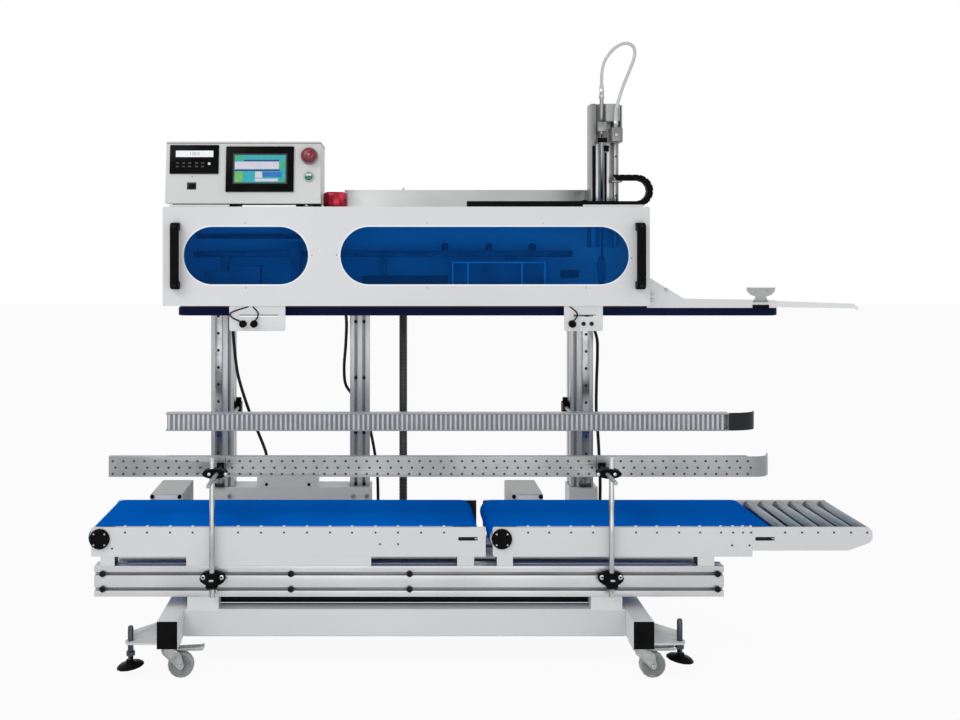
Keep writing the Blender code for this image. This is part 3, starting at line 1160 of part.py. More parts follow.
white_paint = material("white_paint", (0.80, 0.81, 0.82), 0.40)
pale_paint = material("pale_paint", (0.72, 0.73, 0.74), 0.42)
anodised = material("anodised_aluminium", (0.66, 0.68, 0.70), 0.35, 0.8)
steel = material("bright_steel", (0.56, 0.58, 0.61), 0.28, 1.0)
zinc = material("zinc_plate", (0.55, 0.57, 0.58), 0.35, 0.9)
dark_steel = material("dark_steel", (0.07, 0.08, 0.09), 0.30, 0.8)
black_steel = material("black_steel", (0.03, 0.03, 0.03), 0.45, 0.3)
perforated_steel = material("perforated_steel", (0.60, 0.62, 0.64), 0.32, 0.9)
roller_grey = material("roller_grey", (0.55, 0.57, 0.60), 0.45)
pale_rubber = material("pale_rubber", (0.62, 0.63, 0.62), 0.60)
blue_belt = material("blue_belt", (0.005, 0.09, 0.42), 0.40)
navy_belt = material("navy_belt", (0.01, 0.025, 0.10), 0.55)
blue_glass = material("blue_glass", (0.01, 0.12, 0.55), 0.08, 0.0, 0.6)
black_plastic = material("black_plastic", (0.015, 0.015, 0.016), 0.50)
black_gloss = material("black_gloss", (0.01, 0.01, 0.012), 0.12)
red_plastic = material("red_plastic", (0.30, 0.010, 0.030), 0.35)
red_knob = material("red_knob", (0.35, 0.008, 0.035), 0.15)
green_plastic = material("green_plastic", (0.01, 0.16, 0.10), 0.35)
clear_hose = material("clear_hose", (0.80, 0.82, 0.84), 0.25)
black_cable = material("black_cable", (0.012, 0.012, 0.013), 0.50)

base_frame()
for leg, side in enumerate(("left", "right")):
    caster("front_" + side, leg, CASTER_Y[0], True)
    caster("rear_" + side, leg, CASTER_Y[1], False)
    levelling_foot("front_" + side, leg, FOOT_FRONT_Y, FOOT_LIFT[leg])
    levelling_foot("rear_" + side, leg, FOOT_REAR_Y, FOOT_LIFT[leg])
bed_rail("bed_rail_front", 0)
bed_rail("bed_rail_rear", BED_WIDTH - RAIL_DEPTH)
conveyor("left")
conveyor("right")
roller_table()
guide_posts()
front_guide()
rear_guide()
columns()
head_housing()
front_cover()
control_box()
seal_unit()
nozzle()
drag_chain()
gripping_belts()
infeed_guide()
cord("cable_left", CABLE_LEFT, CABLE_RADIUS, black_cable)
cord("cable_middle", CABLE_MIDDLE, CABLE_RADIUS, black_cable)
cord("cable_right", CABLE_RIGHT, CABLE_RADIUS, black_cable)
cord("vacuum_hose", HOSE_POINTS, HOSE_RADIUS, clear_hose)
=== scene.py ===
import json
import math

import bpy
from mathutils import Matrix, Vector

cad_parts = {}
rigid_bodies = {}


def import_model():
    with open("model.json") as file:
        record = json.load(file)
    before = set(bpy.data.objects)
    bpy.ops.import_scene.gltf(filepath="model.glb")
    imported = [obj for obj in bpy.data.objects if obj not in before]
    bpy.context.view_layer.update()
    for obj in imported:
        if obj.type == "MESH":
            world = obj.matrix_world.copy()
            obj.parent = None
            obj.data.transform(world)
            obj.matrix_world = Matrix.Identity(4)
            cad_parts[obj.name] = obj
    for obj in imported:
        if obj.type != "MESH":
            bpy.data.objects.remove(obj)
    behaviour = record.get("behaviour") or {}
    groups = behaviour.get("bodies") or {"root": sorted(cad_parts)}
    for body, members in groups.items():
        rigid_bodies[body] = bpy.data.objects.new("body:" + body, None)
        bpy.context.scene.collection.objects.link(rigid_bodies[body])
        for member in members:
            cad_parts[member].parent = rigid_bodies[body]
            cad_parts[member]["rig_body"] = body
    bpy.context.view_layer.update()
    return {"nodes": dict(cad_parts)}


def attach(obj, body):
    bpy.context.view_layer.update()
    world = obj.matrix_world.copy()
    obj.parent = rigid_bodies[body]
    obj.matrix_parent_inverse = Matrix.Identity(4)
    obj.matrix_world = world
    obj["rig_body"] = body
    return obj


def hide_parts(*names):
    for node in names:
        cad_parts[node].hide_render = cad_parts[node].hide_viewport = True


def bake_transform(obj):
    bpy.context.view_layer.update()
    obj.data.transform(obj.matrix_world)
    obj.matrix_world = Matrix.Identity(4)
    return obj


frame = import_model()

bedOrigin = Vector((-0.285, -0.290, 0))  # the bed's own zero: near its middle, at the conveyors' front face


def place(x, y, z):
    return bedOrigin + Vector((x, y, z))


print("camera")
view = {"distance": 3.118, "height": 1.290, "lens": 39.75, "shiftX": 0.1010, "shiftY": -0.1354}
bpy.ops.object.camera_add(
    location=place(0, -view["distance"], view["height"]), rotation=(math.pi / 2, 0, 0)
)
camera = bpy.context.object
camera.data.lens = view["lens"]
camera.data.sensor_width = 36
camera.data.shift_x = view["shiftX"]
camera.data.shift_y = view["shiftY"]
bpy.context.scene.camera = camera


def deselect():
    if bpy.context.object and bpy.context.object.mode != "OBJECT":
        bpy.ops.object.mode_set(mode="OBJECT")
    bpy.ops.object.select_all(action="DESELECT")


def pick(piece):
    deselect()
    piece.select_set(True)
    bpy.context.view_layer.objects.active = piece
    return piece


def settle(piece):  # its place goes into its mesh
    pick(piece)
    bpy.ops.object.transform_apply(location=True, rotation=True, scale=True)
    return piece


def bevelPiece(piece, width, segments=2, angle=30):
    pick(piece)
    edge = piece.modifiers.new("edge", "BEVEL")
    edge.width = width
    edge.segments = segments
    edge.limit_method = "ANGLE"
    edge.angle_limit = math.radians(angle)
    edge.harden_normals = False
    bpy.ops.object.modifier_apply(modifier=edge.name)
    return piece


def smooth(piece, angle=35):
    pick(piece)
    bpy.ops.object.shade_smooth_by_angle(angle=math.radians(angle))
    return piece


def addBlock(x, y, z, edge=0.0, segments=2):
    deselect()
    middle = place((x[0] + x[1]) / 2, (y[0] + y[1]) / 2, (z[0] + z[1]) / 2)
    bpy.ops.mesh.primitive_cube_add(size=1, location=middle)
    piece = bpy.context.object
    piece.scale = (x[1] - x[0], y[1] - y[0], z[1] - z[0])
    settle(piece)
    return bevelPiece(piece, edge, segments) if edge else piece


axisTurns = {"Z": Matrix.Identity(3), "Y": Matrix.Rotation(math.pi / 2, 3, "X"),
             "X": Matrix.Rotation(math.pi / 2, 3, "Y")}


def addRod(ends, across, axis, radius, steps=24, edge=0.0):
    middle = (ends[0] + ends[1]) / 2
    at = {"X": (middle, *across), "Y": (across[0], middle, across[1]), "Z": (*across, middle)}[axis]
    deselect()
    bpy.ops.mesh.primitive_cylinder_add(
        vertices=steps, radius=radius, depth=ends[1] - ends[0], location=place(*at),
        rotation=axisTurns[axis].to_euler()
    )
    piece = settle(bpy.context.object)
    return bevelPiece(piece, edge, 2, 50) if edge else piece


def joined(name, pieces):
    deselect()
    for piece in pieces:
        piece.select_set(True)
    bpy.context.view_layer.objects.active = pieces[0]
    if len(pieces) > 1:
        bpy.ops.object.join()
    made = bpy.context.object
    made.name = name
    made.data.name = name
    return made


def mount(name, pieces, surface, body, nodes=(), angle=35):
    piece = joined(name, pieces if isinstance(pieces, list) else [pieces])
    piece.data.materials.clear()
    piece.data.materials.append(surface)
    smooth(piece, angle)
    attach(piece, body)
    if nodes:
        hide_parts(*nodes)
    return piece


def dressed(node, surface, edge=0.0, angle=35, between=None):
    # A copy of the CAD node, merged so that its round sides shade smoothly.
    # Between is meant to name the two bodies that it joins, and a place on each; only whether it is given is read,
    # and such a piece stays on no body.
    source = frame["nodes"][node]
    piece = bpy.data.objects.new(node + "_skin", source.data.copy())
    bpy.context.scene.collection.objects.link(piece)
    pick(piece)
    bpy.ops.object.mode_set(mode="EDIT")
    bpy.ops.mesh.select_all(action="SELECT")
    bpy.ops.mesh.remove_doubles(threshold=1e-6)
    bpy.ops.mesh.dissolve_limited(angle_limit=math.radians(1))
    bpy.ops.object.mode_set(mode="OBJECT")
    if edge:
        bevelPiece(piece, edge)
    piece.data.materials.clear()
    piece.data.materials.append(surface)
    smooth(piece, angle)
    if between:
        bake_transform(piece)
    else:
        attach(piece, source["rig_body"])
    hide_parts(node)
    return piece


panelLean = math.radians(7.575)  # the control box's front leans back by this much
panelLook = {"foot": 1.369, "front": 0.054, "tall": 0.188, "setBack": 0.025}
facing = {
    "front": Matrix.Rotation(math.pi / 2, 4, "X"), "back": Matrix.Rotation(-math.pi / 2, 4, "X"),
    "top": Matrix.Identity(4), "bottom": Matrix.Rotation(math.pi, 4, "X"),
    "right": Matrix.Rotation(math.pi / 2, 4, "Y"), "left": Matrix.Rotation(-math.pi / 2, 4, "Y"),
    "panel": Matrix.Rotation(math.pi / 2 - panelLean, 4, "X"),
}


def panelDepth(z):  # where the leaning panel's face is at this height
    return panelLook["front"] + panelLook["setBack"] * (z - panelLook["foot"]) / panelLook["tall"]


def onPanel(x, z, lift=0.0):
    return (x, panelDepth(z) - math.cos(panelLean) * lift, z + math.sin(panelLean) * lift)


def choose(piece, kind, test):  # picks faces, edges or vertices in code, and leaves the piece in edit mode
    pick(piece)
    bpy.ops.object.mode_set(mode="EDIT")
    bpy.ops.mesh.select_mode(type=kind)
    bpy.ops.mesh.select_all(action="DESELECT")
    bpy.ops.object.mode_set(mode="OBJECT")
    mesh = piece.data
    if kind == "FACE":
        for face in mesh.polygons:
            face.select = test(face.center, face.normal)
    elif kind == "EDGE":
        for edge in mesh.edges:
            a, b = (mesh.vertices[v].co for v in edge.vertices)
            edge.select = test((a + b) / 2, (b - a).normalized())
    else:
        for vertex in mesh.vertices:
            vertex.select = test(vertex.co)
    bpy.ops.object.mode_set(mode="EDIT")


def putOn(piece, spot, side, turn=0.0):  # from flat at zero to its place on a surface
    piece.matrix_world = Matrix.Translation(place(*spot)) @ facing[side] @ Matrix.Rotation(turn, 4, "Z")
    return settle(piece)


def facePlate(spot, size, thick, side="front", edge=0.0, turn=0.0):
    deselect()
    bpy.ops.mesh.primitive_cube_add(size=1, location=(0, 0, thick / 2))
    piece = bpy.context.object
    piece.scale = (size[0], size[1], thick)
    settle(piece)
    if edge:
        bevelPiece(piece, edge)
    return putOn(piece, spot, side, turn)


def disc(spot, radius, thick, side="front", steps=24, edge=0.0):
    deselect()
    bpy.ops.mesh.primitive_cylinder_add(
        vertices=steps, radius=radius, depth=thick, location=(0, 0, thick / 2))
    piece = settle(bpy.context.object)
    if edge:
        bevelPiece(piece, edge, 2, 50)
    return putOn(piece, spot, side)


def screwHead(radius, height, socket=0.5, steps=12, sunk=0.0003):
    # A head on the Z axis: chamfered rim, and a hollow pressed into its top
    deselect()
    bpy.ops.mesh.primitive_cylinder_add(
        vertices=steps, radius=radius, depth=height + sunk, location=(0, 0, (height - sunk) / 2))
    piece = settle(bpy.context.object)
    rim = min(radius, height) * 0.25
    bevelPiece(piece, rim, 1, 50)
    if socket:
        choose(piece, "FACE", lambda middle, normal: normal.z > 0.99)
        bpy.ops.mesh.inset(thickness=radius - rim - radius * socket)
        bpy.ops.mesh.inset(thickness=radius * 0.02, depth=-height * 0.5)
        deselect()
    return piece


def scatter(name, source, spots, side, surface, body, angle=35):
    # One copy of the source, with its own mesh, at each spot on a surface
    made = []
    for spot in spots:
        twin = bpy.data.objects.new(name, source.data.copy())
        bpy.context.scene.collection.objects.link(twin)
        twin.matrix_world = Matrix.Translation(place(*spot)) @ facing[side]
        made.append(twin)
    bpy.data.objects.remove(source)
    settle(joined(name, made))
    return mount(name, bpy.context.object, surface, body, (), angle)


def stadiumRing(x, z, y, grow, width, thick):
    # A flat ring round a window with half-round ends
    radius = (z[1] - z[0]) / 2 + grow
    long = x[1] - x[0] + 2 * grow - 2 * radius
    deselect()
    bpy.ops.mesh.primitive_circle_add(
        vertices=64, radius=radius, fill_type="NGON", rotation=(0, 0, math.pi / 64))
    ring = settle(bpy.context.object)
    choose(ring, "VERT", lambda spot: spot.x > 0)
    bpy.ops.transform.translate(value=(long, 0, 0))
    bpy.ops.mesh.select_mode(type="FACE")
    bpy.ops.mesh.select_all(action="SELECT")
    bpy.ops.mesh.inset(thickness=width)
    bpy.ops.mesh.delete(type="FACE")
    bpy.ops.mesh.select_all(action="SELECT")
    bpy.ops.mesh.extrude_region_move(TRANSFORM_OT_translate={"value": (0, 0, thick)})
    bpy.ops.mesh.select_all(action="SELECT")
    bpy.ops.mesh.normals_make_consistent(inside=False)
    deselect()
    return putOn(ring, (x[0] - grow + radius, y, (z[0] + z[1]) / 2), "front")


def paintPart(piece, surface, test):  # a second finish on the faces that pass the test
    piece.data.materials.append(surface)
    number = len(piece.data.materials) - 1
    for face in piece.data.polygons:
        if test(*(face.center - bedOrigin)):
            face.material_index = number
    return piece


def surfaceNodes(name):
    made = bpy.data.materials.new(name)
    made.use_nodes = True
    tree = made.node_tree
    return made, tree, tree.nodes["Principled BSDF"]


def noiseOf(tree, scale, detail=4.0, stretch=(1, 1, 1), rough=0.5):
    where = tree.nodes.new("ShaderNodeTexCoord")
    turn = tree.nodes.new("ShaderNodeMapping")
    turn.inputs["Scale"].default_value = stretch
    grain = tree.nodes.new("ShaderNodeTexNoise")
    grain.inputs["Scale"].default_value = scale
    grain.inputs["Detail"].default_value = detail
    grain.inputs["Roughness"].default_value = rough
    tree.links.new(where.outputs["Object"], turn.inputs["Vector"])
    tree.links.new(turn.outputs["Vector"], grain.inputs["Vector"])
    return grain.outputs["Fac"]


def span(tree, value, low, high, start=0.3, end=0.7):
    steps = tree.nodes.new("ShaderNodeMapRange")
    steps.inputs["From Min"].default_value = start
    steps.inputs["From Max"].default_value = end
    steps.inputs["To Min"].default_value = low
    steps.inputs["To Max"].default_value = high
    tree.links.new(value, steps.inputs["Value"])
    return steps.outputs["Result"]


def tint(tree, share, dark, light):
    mix = tree.nodes.new("ShaderNodeMix")
    mix.data_type = "RGBA"
    mix.inputs["A"].default_value = (*dark, 1)
    mix.inputs["B"].default_value = (*light, 1)
    tree.links.new(share, mix.inputs["Factor"])
    return mix.outputs["Result"]


def dent(tree, shader, height, strength, depth):
    bump = tree.nodes.new("ShaderNodeBump")
    bump.inputs["Strength"].default_value = strength
    bump.inputs["Distance"].default_value = depth
    tree.links.new(height, bump.inputs["Height"])
    tree.links.new(bump.outputs["Normal"], shader.inputs["Normal"])


def makeSurface(name, look):
    made, tree, shader = surfaceNodes(name)
    shader.inputs["Metallic"].default_value = look.get("metal", 0.0)
    shader.inputs["Coat Weight"].default_value = look.get("coat", 0.0)
    shader.inputs["Coat Roughness"].default_value = 0.12
    shader.inputs["Specular IOR Level"].default_value = look.get("shine", 0.5)
    broad = noiseOf(tree, look.get("patch", 5.0), 3.0)
    fine = noiseOf(tree, look.get("fine", 900.0), 5.0, look.get("grain", (1, 1, 1)), 0.6)
    colour = tint(tree, span(tree, broad, 0, 1), look["dark"], look["light"])
    tree.links.new(colour, shader.inputs["Base Color"])
    tree.links.new(span(tree, fine, *look["rough"]), shader.inputs["Roughness"])
    dent(tree, shader, fine, look.get("bump", 0.1), look.get("depth", 0.0001))
    return made


print("finishes")
whitePaint = makeSurface("whitePowderCoat", {
    "dark": (0.725, 0.730, 0.738), "light": (0.765, 0.770, 0.778), "shine": 0.3, "rough": (0.30, 0.42),
    "patch": 2.5, "fine": 1400.0, "bump": 0.08, "depth": 0.00025})
greyPaint = makeSurface("greyPowderCoat", {
    "dark": (0.40, 0.405, 0.405), "light": (0.46, 0.465, 0.465), "rough": (0.32, 0.45),
    "patch": 3.0, "fine": 1400.0, "bump": 0.08, "depth": 0.00025})
railAluminium = makeSurface("anodisedRail", {
    "dark": (0.54, 0.55, 0.565), "light": (0.66, 0.67, 0.685), "rough": (0.26, 0.40), "metal": 0.5,
    "patch": 4.0, "fine": 500.0, "grain": (0.02, 1, 1)})
postAluminium = makeSurface("anodisedPost", {
    "dark": (0.42, 0.425, 0.425), "light": (0.56, 0.565, 0.565), "rough": (0.26, 0.40), "metal": 0.5,
    "patch": 4.0, "fine": 500.0, "grain": (1, 1, 0.02)})
brightSteel = makeSurface("groundSteel", {
    "slot": "bright_steel",
    "dark": (0.36, 0.37, 0.375), "light": (0.52, 0.53, 0.535), "rough": (0.16, 0.30), "metal": 1.0,
    "patch": 12.0, "fine": 700.0, "grain": (1, 0.03, 1), "bump": 0.08})
postSteel = makeSurface("platedPost", {
    "dark": (0.30, 0.31, 0.315), "light": (0.54, 0.55, 0.555), "rough": (0.12, 0.24), "metal": 1.0,
    "patch": 12.0, "fine": 700.0, "grain": (1, 1, 0.03), "bump": 0.06})
zincPlate = makeSurface("zincPlate", {
    "slot": "zinc_plate",
    "dark": (0.28, 0.285, 0.285), "light": (0.46, 0.465, 0.465), "rough": (0.22, 0.42), "metal": 0.9,
    "patch": 40.0, "fine": 600.0, "bump": 0.12, "depth": 0.0002})
darkSteel = makeSurface("oiledSteel", {
    "dark": (0.045, 0.050, 0.060), "light": (0.085, 0.090, 0.100), "rough": (0.18, 0.34), "metal": 0.85,
    "patch": 10.0, "fine": 700.0, "grain": (1, 1, 0.1), "bump": 0.08})
blackMoulding = makeSurface("blackMoulding", {
    "slot": "black_plastic",
    "dark": (0.0015, 0.0015, 0.0017), "light": (0.0040, 0.0040, 0.0043), "shine": 0.05, "rough": (0.38, 0.55),
    "patch": 20.0, "fine": 1800.0, "bump": 0.25, "depth": 0.0002})
blackOxide = makeSurface("blackOxide", {
    "slot": "black_steel",
    "dark": (0.003, 0.003, 0.0035), "light": (0.007, 0.007, 0.008), "shine": 0.15, "rough": (0.30, 0.46),
    "patch": 30.0, "depth": 0.0002})
greyWheel = makeSurface("greyTread", {
    "dark": (0.30, 0.31, 0.31), "light": (0.44, 0.45, 0.45), "rough": (0.45, 0.62),
    "patch": 30.0, "bump": 0.12, "depth": 0.0002})
rollerGrey = makeSurface("guideRollers", {
    "dark": (0.36, 0.375, 0.385), "light": (0.48, 0.495, 0.505), "rough": (0.28, 0.42), "metal": 0.3,
    "patch": 30.0, "bump": 0.06})
navyBelt = makeSurface("grippingBelt", {
    "dark": (0.002, 0.006, 0.034), "light": (0.004, 0.010, 0.050), "shine": 0.05, "rough": (0.45, 0.60),
    "patch": 8.0, "fine": 1200.0, "bump": 0.20, "depth": 0.0002})
redMoulding = makeSurface("darkRedMoulding", {
    "dark": (0.15, 0.006, 0.020), "light": (0.25, 0.012, 0.034), "shine": 0.4, "rough": (0.14, 0.26), "coat": 0.1,
    "patch": 40.0, "bump": 0.05})
greenMoulding = makeSurface("greenMoulding", {
    "dark": (0.006, 0.13, 0.085), "light": (0.012, 0.18, 0.12), "rough": (0.20, 0.34),
    "patch": 60.0, "bump": 0.05})
whiteMoulding = makeSurface("whiteMoulding", {
    "dark": (0.66, 0.68, 0.69), "light": (0.74, 0.76, 0.77), "rough": (0.25, 0.40),
    "patch": 40.0, "fine": 1200.0, "bump": 0.06})
sealUnitPaint = makeSurface("sealUnitGrey", {
    "dark": (0.05, 0.06, 0.07), "light": (0.12, 0.13, 0.145), "rough": (0.25, 0.45), "metal": 0.5,
    "patch": 14.0, "fine": 500.0, "depth": 0.0002})
blackCable = makeSurface("cableSheath", {
    "dark": (0.003, 0.003, 0.0035), "light": (0.007, 0.007, 0.0075), "shine": 0.15, "rough": (0.34, 0.48),
    "patch": 30.0, "fine": 1500.0, "bump": 0.15})
clearHose = makeSurface("clearHose", {
    "dark": (0.50, 0.51, 0.52), "light": (0.62, 0.63, 0.64), "rough": (0.16, 0.28), "coat": 0.4,
    "patch": 60.0, "fine": 1200.0, "bump": 0.05})
# Mid grey painted into the grooves of the rails and columns as their shade.
paintedGrooveShade = makeSurface("paintedGrooveShade", {
    "dark": (0.30, 0.31, 0.32), "light": (0.40, 0.41, 0.42), "rough": (0.35, 0.50), "metal": 0.3,
    "patch": 6.0, "fine": 600.0, "grain": (0.03, 1, 1), "bump": 0.08})
perforatedSteel = makeSurface("punchedSheet", {
    "dark": (0.26, 0.272, 0.276), "light": (0.42, 0.432, 0.436), "rough": (0.24, 0.38), "metal": 0.7,
    "patch": 5.0, "fine": 600.0, "grain": (0.03, 1, 1), "bump": 0.06})
shadedAluminium = makeSurface("shadedAluminium", {
    "dark": (0.17, 0.173, 0.170), "light": (0.30, 0.303, 0.300), "rough": (0.24, 0.38), "metal": 0.6,
    "patch": 6.0, "fine": 500.0, "grain": (1, 1, 0.02)})
oiledSteel = makeSurface("oiledScrew", {
    "dark": (0.016, 0.017, 0.018), "light": (0.040, 0.042, 0.044), "rough": (0.22, 0.34), "metal": 0.3,
    "patch": 14.0, "fine": 700.0, "bump": 0.08})
# Mid grey painted into the notches between the small rollers as their shade.
paintedRollerGapShade = makeSurface("paintedRollerGapShade", {
    "dark": (0.24, 0.25, 0.26), "light": (0.32, 0.33, 0.34), "rough": (0.35, 0.50),
    "patch": 20.0, "bump": 0.06})
holeShade = makeSurface("punchedHole", {
    "dark": (0.050, 0.052, 0.054), "light": (0.085, 0.088, 0.090), "rough": (0.50, 0.70), "shine": 0.1,
    "patch": 20.0})
slotShade = makeSurface("shadedHollow", {
    "dark": (0.018, 0.019, 0.020), "light": (0.034, 0.036, 0.038), "shine": 0.1, "rough": (0.50, 0.70),
    "patch": 20.0})
railStrip = makeSurface("linearRail", {
    "dark": (0.15, 0.155, 0.16), "light": (0.46, 0.47, 0.475), "rough": (0.12, 0.22), "metal": 0.95,
    "patch": 9.0, "fine": 700.0, "grain": (1, 1, 0.03), "bump": 0.05})
beamSteel = makeSurface("brushedBeam", {
    "dark": (0.36, 0.365, 0.365), "light": (0.52, 0.525, 0.525), "rough": (0.26, 0.40), "metal": 0.8,
    "patch": 2.6, "fine": 600.0, "grain": (0.02, 1, 1), "bump": 0.08})
rollerZinc = makeSurface("tableRollers", {
    "dark": (0.10, 0.13, 0.165), "light": (0.20, 0.235, 0.275), "rough": (0.20, 0.34), "metal": 0.85,
    "patch": 8.0, "fine": 700.0, "grain": (1, 0.03, 1), "bump": 0.06})
rollerPale = makeSurface("smallRollers", {
    "dark": (0.62, 0.635, 0.645), "light": (0.74, 0.755, 0.765), "rough": (0.24, 0.40), "metal": 0.2,
    "patch": 24.0, "bump": 0.05})
# Near-black painted shade for undersides and hollows that get no light; also the finish of a few dark parts inside
# the head.
shadeAndDarkParts = makeSurface("paintedShadeAndDarkParts", {
    "dark": (0.008, 0.009, 0.011), "light": (0.016, 0.018, 0.021), "shine": 0.2, "rough": (0.25, 0.42),
    "patch": 12.0, "fine": 700.0, "bump": 0.08})
wheelHub = makeSurface("wheelHub", {
    "dark": (0.16, 0.17, 0.175), "light": (0.26, 0.27, 0.275), "rough": (0.35, 0.50),
    "patch": 40.0})
rimPaint = makeSurface("windowRim", {
    "dark": (0.86, 0.90, 0.95), "light": (0.90, 0.94, 0.98), "rough": (0.18, 0.30), "coat": 0.3,
    "patch": 6.0, "bump": 0.04})
boxPaint = makeSurface("boxPowderCoat", {
    "dark": (0.655, 0.660, 0.662), "light": (0.70, 0.705, 0.707), "shine": 0.3, "rough": (0.34, 0.46),
    "patch": 3.0, "fine": 1400.0, "bump": 0.08, "depth": 0.00025})
glossBlack = makeSurface("glossyBlackPanel", {
    "dark": (0.0020, 0.0020, 0.0022), "light": (0.0040, 0.0040, 0.0044), "shine": 0.04, "rough": (0.16, 0.26),
    "patch": 18.0, "fine": 1200.0, "bump": 0.03})
keyGrey = makeSurface("greyPrint", {
    "dark": (0.20, 0.21, 0.22), "light": (0.30, 0.31, 0.32), "rough": (0.40, 0.55),
    "patch": 60.0, "fine": 1200.0, "bump": 0.04})
paleRed = makeSurface("paleRedPrint", {
    "dark": (0.42, 0.10, 0.13), "light": (0.52, 0.16, 0.19), "rough": (0.30, 0.45),
    "patch": 60.0, "fine": 1200.0, "bump": 0.04})
knobRed = makeSurface("anodisedRedKnob", {
    "dark": (0.30, 0.006, 0.026), "light": (0.46, 0.014, 0.045), "rough": (0.12, 0.22), "metal": 0.65,
    "patch": 40.0, "bump": 0.04})
wandWhite = makeSurface("frostedWand", {
    "dark": (0.76, 0.78, 0.79), "light": (0.84, 0.86, 0.87), "rough": (0.20, 0.34), "coat": 0.3,
    "patch": 10.0, "bump": 0.03})


def litSurface(name, dark, light, strength=0.35):  # a field of a lit screen
    made, tree, shader = surfaceNodes(name)
    colour = tint(tree, span(tree, noiseOf(tree, 90.0, 3.0), 0, 1), dark, light)
    tree.links.new(colour, shader.inputs["Base Color"])
    tree.links.new(colour, shader.inputs["Emission Color"])
    shader.inputs["Emission Strength"].default_value = strength
    tree.links.new(span(tree, noiseOf(tree, 900.0, 3.0), 0.18, 0.30), shader.inputs["Roughness"])
    return made


displayWhite = litSurface("litDisplay", (0.60, 0.62, 0.63), (0.68, 0.70, 0.71), 0.40)
screenGlass = litSurface("screenEdge", (0.020, 0.022, 0.024), (0.030, 0.032, 0.035), 0.05)
screenTeal = litSurface("screenTeal", (0.010, 0.26, 0.30), (0.016, 0.32, 0.37))
screenGreen = litSurface("screenGreen", (0.020, 0.26, 0.14), (0.030, 0.32, 0.18))
screenLime = litSurface("screenLime", (0.10, 0.32, 0.07), (0.13, 0.39, 0.10))
screenNavy = litSurface("screenNavy", (0.010, 0.030, 0.13), (0.014, 0.040, 0.17))
screenBlue = litSurface("screenBlue", (0.010, 0.10, 0.36), (0.014, 0.14, 0.44))
screenPale = litSurface("screenPale", (0.44, 0.43, 0.50), (0.52, 0.51, 0.58))


print("cords")
cordRoutes = {
    "cable_left": ((-0.500, 0.352, 1.090), (-0.500, 0.386, 1.090), (-0.500, 0.405, 1.090),
                   (-0.508, 0.475, 1.056), (-0.516, 0.540, 1.004), (-0.525, 0.596, 0.930),
                   (-0.516, 0.612, 0.813), (-0.500, 0.604, 0.746), (-0.468, 0.600, 0.651),
                   (-0.440, 0.622, 0.575), (-0.420, 0.652, 0.510), (-0.416, 0.664, 0.485),
                   (-0.416, 0.664, 0.4693), (-0.416, 0.664, 0.4353)),
    "cable_middle": ((-0.140, 0.352, 1.090), (-0.140, 0.386, 1.090), (-0.140, 0.405, 1.090),
                     (-0.138, 0.475, 1.056), (-0.128, 0.580, 0.980), (-0.132, 0.640, 0.888),
                     (-0.140, 0.700, 0.800), (-0.137, 0.728, 0.735), (-0.118, 0.738, 0.700),
                     (-0.080, 0.738, 0.650), (-0.050, 0.732, 0.577), (-0.031, 0.722, 0.489),
                     (-0.021, 0.704, 0.418), (-0.018, 0.684, 0.344), (-0.018, 0.668, 0.280),
                     (-0.018, 0.664, 0.245), (-0.018, 0.664, 0.2285), (-0.018, 0.664, 0.1945)),
    "cable_right": ((0.640, 0.352, 1.090), (0.640, 0.386, 1.090), (0.640, 0.405, 1.090),
                    (0.660, 0.465, 1.056), (0.704, 0.540, 0.995), (0.748, 0.600, 0.920),
                    (0.758, 0.630, 0.850), (0.757, 0.640, 0.754), (0.752, 0.620, 0.651),
                    (0.755, 0.602, 0.560), (0.758, 0.594, 0.470), (0.760, 0.592, 0.400),
                    (0.757, 0.590, 0.300), (0.750, 0.588, 0.245), (0.750, 0.588, 0.2285),
                    (0.750, 0.588, 0.1945)),
    "vacuum_hose": ((0.666, 0.112, 1.7053), (0.666, 0.112, 1.7373), (0.666, 0.112, 1.750),
                    (0.667, 0.111, 1.772), (0.672, 0.110, 1.798), (0.684, 0.109, 1.820),
                    (0.702, 0.107, 1.841), (0.722, 0.106, 1.8540), (0.740, 0.104, 1.8580),
                    (0.756, 0.103, 1.8520), (0.764, 0.101, 1.838), (0.762, 0.099, 1.812),
                    (0.752, 0.097, 1.785), (0.738, 0.094, 1.752), (0.724, 0.091, 1.718),
                    (0.712, 0.089, 1.680), (0.704, 0.088, 1.652), (0.704, 0.088, 1.6383),
                    (0.704, 0.088, 1.6063)),
}
headCable = {"radius": 0.0055, "surface": blackCable, "slot": "black_cable", "bodies": ("machine", "head")}
cordFacts = {
    "cable_left": {**headCable, "from": (-0.500, 0.500, 0.490), "to": (-0.500, 0.500, 1.060)},
    "cable_middle": {**headCable, "from": (-0.140, 0.500, 0.260), "to": (-0.140, 0.500, 1.060)},
    "cable_right": {**headCable, "from": (0.640, 0.500, 0.260), "to": (0.640, 0.500, 1.060)},
    "vacuum_hose": {"radius": 0.005, "surface": clearHose, "slot": "clear_hose",
                    "bodies": ("carriage", "nozzle_tube"), "from": (0.702, 0.105, 1.8), "to": (0.668, 0.105, 1.8)},
}
cordSteps = {"between": 16, "spacing": 0.012}


